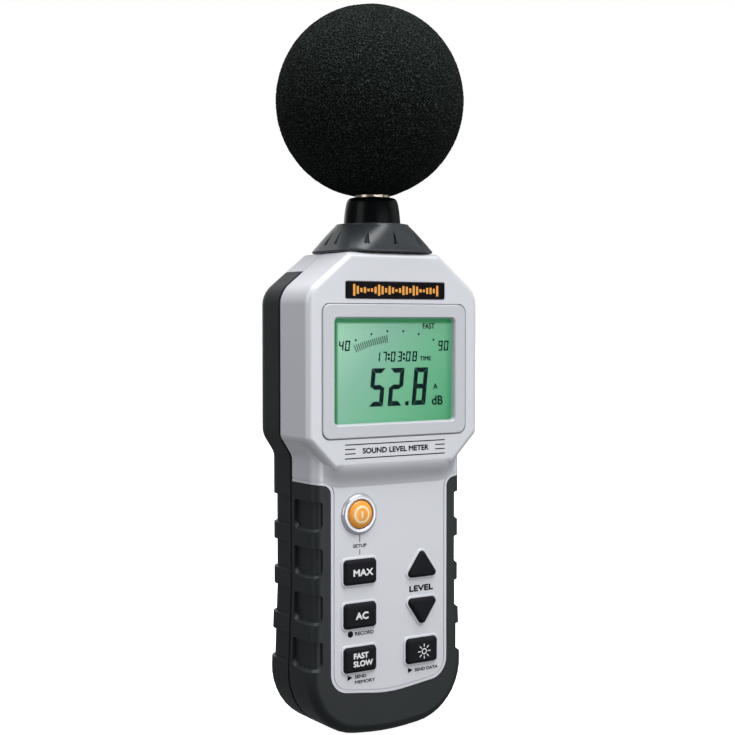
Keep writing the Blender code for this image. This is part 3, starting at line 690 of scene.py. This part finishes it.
def front_hollow(side, z):
    """A cutter for one hollow round the grip's front corner: level above, a curved lip below."""
    arc_centre_x, arc_centre_y = grip_half_width(z) - GRIP_CORNER, GRIP_FRONT + GRIP_CORNER
    straight_part = FRONT_HOLLOW_BACK - arc_centre_y
    bend = acos((FRONT_HOLLOW_X - arc_centre_x) / GRIP_CORNER)
    length = straight_part + bend * GRIP_CORNER
    top_round, low_round, lip, sag = 1.2, 2.6, 0.95, 0.35
    ends = [length * 0.0012] + [low_round * (1 - c) for _, c in quarter_turn(8, 1)]
    middle = [low_round + (length - 2 * low_round) * step / 14 for step in range(1, 14)]
    rings = []
    for along in ends + middle + [length - end for end in reversed(ends)]:
        nearest = min(along, length - along)
        high = z + HOLLOW_HEIGHT / 2 - quarter_drop(top_round, nearest)
        low = z - HOLLOW_HEIGHT / 2 + quarter_drop(low_round, nearest)
        low -= sag * sin(pi * along / length)
        turn = max(along - straight_part, 0.0) / GRIP_CORNER
        outwards = Vector((side * cos(turn), -sin(turn)))
        reach = Vector((side * arc_centre_x, arc_centre_y - min(along - straight_part, 0.0)))
        ring = []
        for depth, height in (
            (-2.0, high), (0.0, high), (HOLLOW_DEPTH, high - 0.12),
            (HOLLOW_DEPTH, low + lip), (0.0, low), (-2.0, low - 0.3),
        ):
            point = reach + outwards * (GRIP_CORNER - depth)
            ring.append((point.x, point.y, height))
        rings.append(ring)
    return bridged(rings)


def quarter_drop(radius, distance):
    """How far a rounded corner falls short at a distance from its straight side."""
    return radius - sqrt(radius ** 2 - max(radius - distance, 0.0) ** 2)


def make_front_rubber():
    rubber = grip_skin()
    clear = [(GRIP_FRONT + RUBBER, RUBBER + 2.0), (-8.3, RUBBER), (FAR, RUBBER)]
    cut(rubber, straight(SILVER_AREA, -FAR, FAR, -0.1), prism(GRIP, clear))
    cut(rubber, *[front_hollow(side, z - FRONT_HOLLOW_DROP) for side in (-1, 1) for z in HOLLOW_Z])
    rubber = smoothed(rubber, 32, 0.16)
    placed(rubber, "front_rubber", "case", "grip_rubber", "grip_rubber", "front_grip_rubber")


def make_rear_rubber():
    levels = rounded_back(SEAM_BACK + 1.35)
    levels += [(SEAM_BACK + 1.35, 0.5), (SEAM_BACK + 0.9, 0.9), (SEAM_BACK, 0.9)]
    rubber = prism(BODY, levels)
    cut(rubber, block((-FAR, -10, REAR_RUBBER_TOP), (FAR, FAR, 220)))
    for z in HOLLOW_Z:
        low, high = z - HOLLOW_HEIGHT / 2, z + HOLLOW_HEIGHT / 2
        band = block((-FAR, REAR_HOLLOW_FRONT, low), (FAR, FAR, high))
        cut(rubber, cut(band, prism(BODY, rounded_back(SEAM_BACK, HOLLOW_DEPTH))))
    clear = [(-10.0, RUBBER), (CORE_BACK - 5.3, RUBBER), (CORE_BACK - 1.4, RUBBER + 1.8)]
    clear.append((CORE_BACK + GAP, RUBBER + 5.6))
    panel = straight(BODY, 0.0, FAR, REAR_PANEL_INSET - 0.15)
    cut(rubber, prism(BODY, clear), panel)
    rubber = smoothed(rubber, 32, 0.22)
    placed(rubber, "rear_rubber", "case", "grip_rubber", "grip_rubber", "rear_grip_rubber")


def make_rear_case():
    shell = prism(BODY, rounded_back(SEAM_BACK))
    cut(shell, block((-FAR, -10, -10), (FAR, FAR, REAR_RUBBER_TOP + 0.15)))
    core = [(SEAM_BACK, CORE_INSET), (CORE_BACK - 5.5, CORE_INSET), (CORE_BACK - 1.6, CORE_INSET + 1.8)]
    core.append((CORE_BACK, CORE_INSET + 5.6))
    panel = [(BACK - 5.7, REAR_PANEL_INSET), (BACK - 0.5, REAR_PANEL_INSET)]
    panel += [(BACK - 0.15, REAR_PANEL_INSET + 0.15), (BACK, REAR_PANEL_INSET + 0.5)]
    unite(shell, prism(BODY, core), prism(BODY, panel))
    cut(shell, prism(BODY, [(-10.0, 4.9), (INNER_BACK - 4.0, 4.9), (INNER_BACK, 8.9)]))
    bay = rectangle(14.4, 13.6, 70.2, 1.5)
    socket = centre_of("tripod_insert")
    unite(
        shell,
        straight(bay, 5.0, BACK - 2.8, -1.3),
        rod(7.2, 11.0, INNER_BACK + 1, socket),
    )
    cut(
        shell,
        seat("battery_cover", 2.5, 0.22, BACK - 2.3, FAR),
        straight(bay, -10.0, FAR),
        rod(5.12, 13.2, FAR, socket, sides=64),
    )
    cover_screw = centre_of("battery_cover_screw")
    unite(shell, rod(3.2, 10.0, BACK - 2.6, cover_screw))
    cut(shell, rod(SCREW_BORE, 9.0, FAR, cover_screw, sides=32))
    for screw in CASE_SCREWS:
        cut(shell, rod(SCREW_HEAD_SEAT, BACK - 2.2, FAR, centre_of(screw), sides=64))
    cut(shell, neck_hole())
    # the rear case takes the darker copy of the silver paint, painted shade
    placed(smoothed(shell, 28), "rear_case", "case", "silver_shell", "shaded_silver_paint", "rear_shell")


# ---- screws and fittings

def make_screw(node, body):
    """A pan head with a cross recess, standing where its CAD screw is."""
    low, high = node_box(node)
    centre = centre_of(node)
    radius, face = (high.x - low.x) / 2, high.y
    profile = [(0, low.y), (0.9, low.y + 0.7), (1.0, face - 1.4), (radius, face - 1.4)]
    profile += [(radius - 0.5 + 0.5 * c, face - 0.55 + 0.5 * s) for s, c in quarter_turn(6)]
    profile += [(radius * 0.4, face), (0, face)]
    screw = turned(profile, centre, "Y", 64)
    for turn in (0.0, pi / 2):
        slot = block((-1.35, face - 0.8, -0.28), (1.35, face + 1, 0.28))
        slot.matrix_world = Matrix.Translation(Vector(centre) * MM) @ Matrix.Rotation(turn, 4, "Y")
        bpy.context.view_layer.update()
        cut(screw, slot)
    placed(smoothed(screw, 30, 0.08), node + "_piece", body, "steel", "brushed_steel", node)


def make_fittings():
    for node in CASE_SCREWS:
        make_screw(node, "case")
    make_screw("battery_cover_screw", "battery_door_screw")
    low, high = node_box("tripod_insert")
    radius = (high.x - low.x) / 2
    profile = [(0, low.y), (radius, low.y), (radius, high.y - 0.3), (radius - 0.3, high.y), (3.75, high.y)]
    root, crest, pitch = 3.62, 3.30, 1.27
    turn = high.y - 0.5
    while turn > low.y + 2.4:
        profile += [(crest, turn), (crest, turn - 0.15), (root, turn - 0.6), (root, turn - 0.72)]
        turn -= pitch
    profile += [(crest, low.y + 1.0), (0, low.y + 1.0)]
    insert = turned(profile, centre_of("tripod_insert"), "Y", 64)
    placed(smoothed(insert, 30), "tripod_insert_piece", "case", "brass", "brass", "tripod_insert")


def make_battery_cover():
    corners, middle = rectangle_of("battery_cover", 2.5)
    low, high = node_box("battery_cover")
    levels = [(high.y, 0.5), (high.y - 0.15, 0.15), (high.y - 0.5, 0.0), (low.y, 0.0)]
    cover = prism(corners, levels, middle)
    screw = centre_of("battery_cover_screw")
    cut(cover, rod(SCREW_BORE, 0, FAR, screw, sides=32))
    cut(cover, rod(SCREW_HEAD_SEAT, high.y - 1.4, FAR, screw, sides=64))
    lowest, pitch = 19.0, 2.6
    for index in range(6):
        half = 8.5 - 0.25 * (index - 2.5) ** 2
        groove = [(half, 0.55, 0.5), (half, -0.55, 0.5)]
        depths = [(high.y - 0.75, 0.2), (high.y - 0.35, 0.0), (FAR, 0.0)]
        cut(cover, prism(groove, depths, (0.0, lowest + pitch * index)))
    cover = smoothed(cover, 28, 0.06)
    # the battery cover takes the darker copy of the silver paint, painted shade
    placed(cover, "battery_cover_piece", "battery_door", "silver_shell", "shaded_silver_paint", "battery_cover")


# ---- display

def make_display():
    corners, middle = rectangle_of("display_bezel", 3.5)
    low, high = node_box("display_bezel")
    bezel = prism(corners, rounded_front(low.y, 0.5, high.y, steps=5), middle)
    window = rectangle(27.2, 119.8, 159.1, 1.2)
    slope = [(low.y - 0.1, -0.9), (low.y + 0.15, -0.45), (low.y + 0.6, -0.15), (high.y + 0.1, 0.0)]
    cut(bezel, prism(window, slope))
    # the bezel takes the darker copy of the silver paint, painted shade
    placed(smoothed(bezel, 28), "bezel_frame", "case", "pale_bezel", "shaded_bezel_paint", "display_bezel")


SEGMENTS = {
    "0": "abcdef", "1": "bc", "2": "abged", "3": "abgcd", "4": "fgbc", "5": "afgcd",
    "7": "abc", "8": "abcdefg", "9": "abcdfg",
}
DIGIT_SLANT = 0.10


def segment_points(which, width, height, thick):
    """Corner points of one bar of a seven-bar digit, mitred where the bars meet."""
    gap = thick * 0.05
    half = thick / 2
    middle = height / 2
    right = width - gap
    if which == "g":
        return [
            (gap + half / 2, middle), (gap + thick, middle + half), (right - thick, middle + half),
            (right - half / 2, middle), (right - thick, middle - half), (gap + thick, middle - half),
        ]
    if which in "ad":
        inner = height - thick
        points = [(gap, height), (right, height), (right - thick, inner), (gap + thick, inner)]
    else:
        points = [
            (0.0, height - gap), (thick, height - gap - thick), (thick, middle + half + gap),
            (half, middle + gap), (0.0, middle + gap),
        ]
    if which in "cde":
        points = [(x, height - z) for x, z in points]
    if which in "bc":
        points = [(width - x, z) for x, z in points]
    return points


def flat_shape(points, y, thickness=INK_LIFT):
    """A thin plate from points in the XZ plane, its back at y."""
    return bridged([[(x, depth, z) for x, z in points] for depth in (y - thickness, y)])


def line(x0, z0, x1, z1, width, y):
    along = Vector((x1 - x0, z1 - z0)).normalized()
    across = Vector((-along.y, along.x)) * width / 2
    ends = [Vector((x0, z0)), Vector((x1, z1))]
    points = [ends[0] - across, ends[1] - across, ends[1] + across, ends[0] + across]
    return flat_shape([tuple(point) for point in points], y)


def digits(text, left, low, size, pitch, thick, y, thickness):
    """Seven-bar figures; a colon takes a narrow place."""
    width, height = size
    shapes = []
    for character in text:
        if character == ":":
            for share in (0.3, 0.7):
                centre = (left + 0.12, 0, low + height * share)
                shapes.append(rod(thick * 0.95, y - thickness, y, centre, sides=16))
            left += pitch * 0.30
            continue
        for which in SEGMENTS[character]:
            points = segment_points(which, width, height, thick)
            points = [(left + x + DIGIT_SLANT * z, low + z) for x, z in points]
            shapes.append(flat_shape(points, y, thickness))
        left += pitch
    return shapes


def words(text, size, place, y, bold, align="CENTER", stretch=1.0, thickness=INK_LIFT):
    """Raised letters from their middle or left end; four shifted copies make the strokes bold."""
    curve = bpy.data.curves.new("words", "FONT")
    curve.body = text
    curve.size = size
    curve.align_x = align
    curve.align_y = "CENTER"
    curve.extrude = thickness / 2
    curve.resolution_u = 4
    holder = in_scene("words", curve)
    turn = Matrix.Rotation(pi / 2, 4, "X") @ Matrix.Diagonal((stretch, 1.0, 1.0, 1.0))
    copies = []
    for index, (across, up) in enumerate([(-bold, 0.0), (bold, 0.0), (0.0, -bold), (0.0, bold)]):
        mesh = evaluated(holder)
        lift = thickness / 2 + 0.002 * index
        move = Matrix.Translation((place[0] + across, y - lift, place[1] + up))
        mesh.transform(Matrix.Scale(MM, 4) @ move @ turn)
        copies.append(bpy.data.objects.new("words", mesh))
    bpy.data.objects.remove(holder)
    return joined(copies)


def make_display_figures():
    """The reading, the small figures and the level scale, printed on the glass."""
    y = node_box("lcd_panel")[0].y - 0.02
    thick = 0.1
    baseline, size = 125.8, (6.4, 14.5)
    big = []
    for text, left in (("5", -10.5), ("2", -1.9), ("8", 9.2)):
        big += digits(text, left, baseline, size, 0.0, 1.85, y, thick)
    point = [(6.2, baseline), (7.8, baseline), (7.9, 127.4), (6.3, 127.4)]
    big += [flat_shape(point, y, thick), words("dB", 5.0, (21.4, 127.2), y, 0.12, thickness=thick)]
    placed(joined(big), "lcd_reading", "case", "lcd_green", "lcd_ink")
    small = []
    for text, left, low, pitch in (
        ("17:03:08", -7.6, 142.7, 3.05), ("40", -23.9, 147.0, 2.75), ("90", 21.7, 146.7, 2.75),
    ):
        small += digits(text, left, low, (2.05, 3.9), pitch, 0.55, y, thick)
    for text, height, place, bold, stretch in (
        ("A", 3.0, (20.5, 132.7), 0.07, 1.0),
        ("TIME", 2.3, (15.8, 143.7), 0.06, 1.05),
        ("FAST", 3.0, (17.2, 156.2), 0.06, 0.88),
    ):
        small.append(words(text, height, place, y, bold, stretch=stretch, thickness=thick))
    arc_x, arc_radius = 1.5, 47.0
    arc_low = 154.5 - arc_radius
    for index in range(6):
        angle = radians(-22.2 + 8.95 * index)
        x, z = arc_x + arc_radius * sin(angle), arc_low + arc_radius * cos(angle)
        small.append(rod(0.42, y - thick, y, (x, 0, z), sides=16))
    bars = []
    count, half = 17, 0.2
    for index in range(count):
        angle = radians(-24.0 + 19.2 * index / (count - 1))
        low, high = arc_radius - 4.4, arc_radius - 1.4 - 0.5 * sin(pi * index / count)
        points = []
        for radius, lean in ((low, -half), (high, -half), (high, half), (low, half)):
            x = arc_x + radius * sin(angle) + lean * cos(angle)
            points.append((x, arc_low + radius * cos(angle)))
        bars.append(flat_shape(points, y, thick))
    placed(joined(small), "lcd_small_figures", "case", "lcd_green", "lcd_ink")
    placed(joined(bars), "lcd_level_bars", "case", "lcd_green", "lcd_ink_soft")


# ---- keys

def sun_symbol(centre, y):
    """A ring with eight rays."""
    x, z = centre
    ring = [(0.8, y - INK_LIFT), (1.2, y - INK_LIFT), (1.2, y), (0.8, y)]
    shapes = [turned(ring, (x, 0, z), "Y", 32, closed=True)]
    near, far = 1.75, 2.95
    for index in range(8):
        across, up = sin(pi / 4 * index), cos(pi / 4 * index)
        shapes.append(line(x + near * across, z + near * up, x + far * across, z + far * up, 0.38, y))
    return shapes


# Key legends: text, size, place from the key's centre, boldness, alignment and stretch
LEGENDS = {
    "key_max": [("MAX", 3.5, (0.55, -0.7), 0.16, "CENTER", 1.18)],
    "key_weighting": [("AC", 3.6, (0.25, -0.5), 0.16, "CENTER", 1.15)],
    "key_response": [
        ("FAST", 2.9, (-3.7, 1.1), 0.14, "LEFT", 1.05), ("SLOW", 2.9, (-3.7, -1.9), 0.14, "LEFT", 1.05),
    ],
}


def make_keys():
    crown = [(0.0, 1.5), (0.05, 1.05), (0.2, 0.6), (0.45, 0.28), (0.8, 0.1), (1.3, 0.0)]
    for node, body, corners, (x, z) in KEYS:
        low, high = node_box(node)
        shoulder = high.y - 1.2
        levels = [(low.y + depth, inset) for depth, inset in crown]
        levels += [(shoulder, 0.0), (shoulder, -KEY_FLANGE), (high.y, -KEY_FLANGE)]
        key = prism(corners, levels, (x, z), steps=8)
        placed(smoothed(key, 40), node + "_cap", body, "key_rubber", "key_rubber", node)
        legend = []
        for text, size, (right, up), bold, align, stretch in LEGENDS.get(node, []):
            legend.append(words(text, size, (x + right, z + up), low.y, bold, align, stretch))
        if node == "key_backlight":
            legend = sun_symbol((x + 0.5, z - 0.85), low.y)
        if legend:
            placed(joined(legend), node + "_legend", body, "key_rubber", "white_print")


def make_power_key():
    low, high = node_box("power_ring")
    centre = centre_of("power_ring")
    outer = (high.x - low.x) / 2
    back, crest = high.y, low.y
    profile = [(5.5, back), (outer, back), (outer, GRIP_FRONT + 0.05)]
    for s, c in quarter_turn(12, 1):
        profile.append((outer - 1.35 * (1 - c), GRIP_FRONT + (crest - GRIP_FRONT) * s))
    profile += [(5.95 - 0.45 * s, crest + 0.5 * (1 - c)) for s, c in quarter_turn(8, 1)]
    ring = turned(profile, centre, "Y", closed=True)
    placed(smoothed(ring, 40), "power_ring_piece", "case", "chrome_ring", "ring_paint", "power_ring")
    low, high = node_box("power_button")
    radius, tip, flange = 5.35, low.y, 6.4
    shoulder = high.y - 1.2
    dome = [(0, tip)] + [(radius * s ** 0.85, tip + 1.7 * (1 - c)) for s, c in quarter_turn(16, 1)]
    foot = [(radius, shoulder), (flange, shoulder), (flange, high.y), (0, high.y)]
    button = turned(dome + foot, centre, "Y")
    button = smoothed(button, 40)
    placed(button, "power_button_cap", "power_key", "orange_button", "orange_plastic", "power_button")
    placed(power_symbol(centre, dome), "power_symbol", "power_key", "orange_button", "cream_print")


def power_symbol(centre, dome):
    """A ring with an upright bar inside, lying on the dome."""
    def depth(radius):
        return float(np.interp(radius, *zip(*dome)))
    section = [(2.55, 0.02), (2.7, INK_LIFT), (3.0, INK_LIFT), (3.3, INK_LIFT), (3.45, 0.02), (3.0, -0.1)]
    ring = [(radius, depth(radius) - rise) for radius, rise in section]
    symbol = turned(ring, centre, "Y", 64, closed=True)
    rows = []
    for index in range(7):
        z = -1.35 + 2.7 * index / 6
        half = 0.42 if 0 < index < 6 else 0.25
        y = depth(abs(z)) - INK_LIFT - 0.01
        left, right, up = centre[0] - half, centre[0] + half, centre[2] + z
        rows.append([(left, y, up), (right, y, up), (right, y + 0.2, up), (left, y + 0.2, up)])
    return joined([symbol, bridged(rows)])


# ---- printing and badge

def make_printing():
    left, right, dash = -22.9, 22.9, 18.3
    marks = [line(left, z, right, z, 0.40, HEAD_FRONT) for z in (112.1, 106.9)]
    for z in (110.4, 108.7):
        marks += [line(left, z, -dash, z, 0.40, HEAD_FRONT), line(dash, z, right, z, 0.40, HEAD_FRONT)]
    marks.append(words("SOUND LEVEL METER", 2.8, (0.0, 109.45), HEAD_FRONT, 0.12, stretch=1.12))
    y = GRIP_FRONT
    middle = -COLUMN_X + 0.3
    marks += [line(middle, top, middle, low, 0.28, y) for top, low in ((77.4, 74.6), (71.9, 69.9))]
    marks.append(words("SETUP", 1.8, (middle, 73.2), y, 0.06, stretch=1.22))
    marks.append(words("LEVEL", 3.1, (COLUMN_X + 0.2, 54.2), y, 0.17, stretch=1.42))
    marks.append(rod(1.2, y - INK_LIFT, y, (-18.1, 0, 39.9), sides=32))
    marks.append(words("RECORD", 1.9, (-16.1, 39.8), y, 0.07, "LEFT", 1.12))
    for x, z in ((-19.4, 23.4), (8.3, 22.6)):
        marks.append(flat_shape([(x, z - 1.05), (x + 2.3, z), (x, z + 1.05)], y))
    for text, place, stretch in (
        ("SEND", (-16.2, 23.4), 1.2), ("MEMORY", (-16.2, 21.3), 1.28), ("SEND DATA", (11.4, 22.4), 1.15),
    ):
        marks.append(words(text, 1.75, place, y, 0.07, "LEFT", stretch))
    placed(joined(marks), "panel_printing", "case", "black_plastic", "black_print")


def make_badge():
    """A dark plate with a row of level bars, a generic mark."""
    corners, middle = rectangle_of("name_plate", 0.8)
    low, high = node_box("name_plate")
    plate = prism(corners, rounded_front(low.y, 0.15, high.y, steps=3), middle)
    placed(smoothed(plate, 30), "badge_plate", "case", "black_plastic", "plate_black", "name_plate")
    bars = []
    count, width = 25, 38.0
    for index in range(count):
        x = width * (index / (count - 1) - 0.5)
        swing = cos(2 * pi * index / 7.0) * cos(2 * pi * index / (count - 1) * 1.5)
        half = 0.5 + 1.7 * abs(swing)
        bars.append(line(x, middle[1] - half, x, middle[1] + half, 1.0, low.y))
    placed(joined(bars), "badge_bars", "case", "black_plastic", "orange_print")


# ---- neck and microphone

COLLAR_SIDES = 128
BOOT_SEAT = 11.25
LIP_DROP = 0.5


def collar_reach(x, y, half_x, half_y, power):
    """How far out the collar is in a direction: a circle (power 2) to a rounded rectangle (power 5)."""
    return (abs(x / half_x) ** power + abs(y / half_y) ** power) ** (-1 / power)


def collar_ring(half_x, half_y, power, z):
    ring = []
    for index in range(COLLAR_SIDES):
        angle = 2 * pi * index / COLLAR_SIDES
        x, y = cos(angle), sin(angle)
        radius = collar_reach(x, y, half_x, half_y, power)
        ring.append((radius * x, radius * y, z))
    return ring


def collar_radii(share, half_x, half_y):
    """Half widths and power of the collar's slope, at a share of the way up."""
    return half_x - 0.15 - 6.25 * share, half_y - 0.12 - 2.5 * share ** 1.1, 5.0 - 3.0 * share ** 0.8


def make_collar():
    low, high = node_box("collar")
    half_x, half_y = high.x, high.y
    top, skirt = high.z, low.z + 0.95
    slope = top - LIP_DROP - skirt
    rings = []
    for inset, z in ((0.35, low.z), (0.12, low.z + 0.2), (0.0, low.z + 0.5), (0.0, skirt - 0.1)):
        rings.append(collar_ring(half_x - inset, half_y - inset, 5.0, z))
    levels = 14
    for step in range(levels + 1):
        share = step / levels
        rings.append(collar_ring(*collar_radii(share, half_x, half_y), skirt + slope * share))
    for s, c in quarter_turn(5, 1):
        inset = LIP_DROP * (1 - c)
        rings.append(collar_ring(14.3 - inset, 14.28 - inset, 2.0, top - LIP_DROP * (1 - s)))
    collar = bridged(rings)
    floor = low.z + 2.0
    seat_profile = [(NECK_BORE, low.z - 4), (NECK_BORE, floor), (BOOT_SEAT, floor), (BOOT_SEAT, top + 4)]
    cut(collar, turned(seat_profile))
    for degrees in (10, 52, 90, 128, 170):
        for side in (-1, 1):
            cut(collar, collar_groove(radians(side * degrees), half_x, half_y, skirt, slope))
    placed(smoothed(collar, 28, 0.12), "collar_piece", "case", "collar_plastic", "collar_plastic", "collar")


def collar_groove(angle, half_x, half_y, skirt, slope):
    """A wedge-shaped groove that widens downwards along the collar's slope."""
    outwards = Vector((cos(angle), sin(angle), 0.0))
    sideways = Vector((-sin(angle), cos(angle), 0.0))
    rings = []
    for share, half_width, depth in (
        (0.20, 1.35, 1.15), (0.26, 1.30, 1.2), (0.50, 0.85, 0.85), (0.76, 0.35, 0.0),
    ):
        z = skirt + slope * share
        surface = collar_reach(outwards.x, outwards.y, *collar_radii(share, half_x, half_y))
        ring = []
        for reach, side in ((-depth, -0.25), (-depth, 0.25), (2.5, 1.9), (2.5, -1.9)):
            point = outwards * (surface + reach) + sideways * half_width * side
            ring.append((point.x, point.y, z + (0.25 if reach > 0 else 0.0)))
        rings.append(ring)
    return bridged(rings)


BOOT_SLOPE = [
    (11.1, 195.2), (11.05, 195.8), (10.96, 196.9), (10.85, 198.2), (10.71, 199.6), (10.55, 200.9),
    (10.36, 202.1), (10.15, 203.2), (9.92, 204.1), (9.66, 204.75), (9.35, 205.2), (9.0, 205.5),
]


def make_neck():
    low, high = node_box("neck_boot")
    top = high.z
    profile = [(NECK_BORE, low.z), (11.1, low.z), *BOOT_SLOPE]
    profile += [(8.6, top - 0.12), (8.1, top), (7.25, top), (7.2, top - 0.3)]
    boot = turned(profile, sides=128, closed=True)
    placed(smoothed(boot, 40), "neck_boot_piece", "case", "black_plastic", "gloss_black", "neck_boot")
    low, high = node_box("mic_tube")
    radius, bore = high.x, 6.0
    groove = radius - 0.28
    z, rings_top, pitch = 205.3, 210.5, 0.75
    profile = [(bore, low.z), (radius, low.z), (radius, 205.2)]
    while z < rings_top:
        profile += [(radius, z), (groove, z + 0.12), (groove, z + 0.35), (radius, z + 0.47)]
        z += pitch
    profile += [(radius, high.z - 0.3), (radius - 0.3, high.z), (bore, high.z)]
    tube = turned(profile, closed=True)
    for index in range(4):
        notch = block((radius - 0.5, -0.9, 206.1), (radius + 1, 0.9, 208.4))
        notch.rotation_euler.z = radians(-110 + 90 * index)
        bpy.context.view_layer.update()
        cut(tube, notch)
    placed(smoothed(tube, 30), "mic_tube_piece", "case", "steel", "warm_metal", "mic_tube")


FOAM_HALF_HEIGHT = 37.0
FOAM_LEAN = -1.1  # the ball sits a little to the left of the neck
FOAM_BORE = 7.15
FOAM_CELL = 1.15


def make_windscreen():
    """The foam ball: a turned shell whose surface is broken into open cells."""
    low, high = node_box("windscreen_foam")
    radius = (high.x - low.x) / 2
    centre = high.z - FOAM_HALF_HEIGHT
    seat_z = node_box("mic_grid")[1].z + 1.0
    rings, sides = ((210, 420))
    start = asin(FOAM_BORE / radius)
    mouth = centre - FOAM_HALF_HEIGHT * cos(start)
    profile = [(0, seat_z), (FOAM_BORE, seat_z)]
    profile += [(FOAM_BORE, seat_z + (mouth - seat_z) * (step + 1) / 12.5) for step in range(12)]
    for step in range(rings + 1):
        angle = start + (pi - start) * step / rings
        across = radius * sin(angle) if step < rings else 0
        profile.append((across, centre - FOAM_HALF_HEIGHT * cos(angle)))
    ball = turned(profile, sides=sides)
    mesh = ball.data
    points = np.empty(len(mesh.vertices) * 3)
    mesh.vertices.foreach_get("co", points)
    points = points.reshape(-1, 3) / MM
    middle = np.array((0.0, 0.0, centre))
    outwards = points - middle
    from_axis = np.hypot(points[:, 0], points[:, 1])
    reach = np.sqrt((from_axis / radius) ** 2 + (outwards[:, 2] / FOAM_HALF_HEIGHT) ** 2)
    for index in np.nonzero(reach > 0.9995)[0]:
        place = Vector(points[index])
        nearest = noise.voronoi(place / FOAM_CELL)[0]
        wall = min((nearest[1] - nearest[0]) * 2.2, 1.0)
        swell = 0.16 * max(noise.noise(place / 9.0), 0.0)
        pit = max(0.42 * wall + 0.12 * noise.noise(place / 0.6), 0.0)
        away = min(max((from_axis[index] - FOAM_BORE) / 6.0, 0.0), 1.0)
        if outwards[index][2] > 0:
            away = 1.0
        points[index] = middle + outwards[index] * (1 - away * (pit + swell) / radius)
        points[index][0] += FOAM_LEAN * away
    mesh.vertices.foreach_set("co", (points * MM).ravel())
    mesh.update()
    placed(smoothed(ball, 180), "foam_ball", "windscreen", "windscreen_foam", "foam", "windscreen_foam")


# ---- CAD nodes that keep their shape

NODE_LOOKS = {
    "clear_window": ["display_lens"],
    "lcd_glow": ["lcd_panel"],
    "white_plastic": ["lcd_holder", "lcd_backlight"],
    "key_rubber": ["zebra_strip_top", "zebra_strip_bottom", "keypad_mat"],
    "board_green": ["main_board"],
    "gloss_black": [
        "processor_chip", "preamplifier_chip", "filter_capacitor_left", "filter_capacitor_right",
        "battery", "battery_snap",
    ],
    "brushed_steel": [
        "crystal_can", "board_screw_left", "board_screw_right", "board_screw_bottom",
        "mic_capsule", "mic_grid",
    ],
    "brass": ["mic_clamp_nut"],
    "red_wire": ["battery_lead_red"],
    "black_wire": ["mic_lead", "battery_lead_black"],
}


make_camera()
for light in LIGHTS:
    area_light(*light)
make_world()
make_floor()
make_looks()
make_front_case()
make_front_rubber()
make_rear_case()
make_rear_rubber()
make_fittings()
make_battery_cover()
make_display()
make_display_figures()
make_keys()
make_power_key()
make_printing()
make_badge()
make_collar()
make_neck()
make_windscreen()
for look, nodes in NODE_LOOKS.items():
    for node in nodes:
        set_look(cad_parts[node], look)
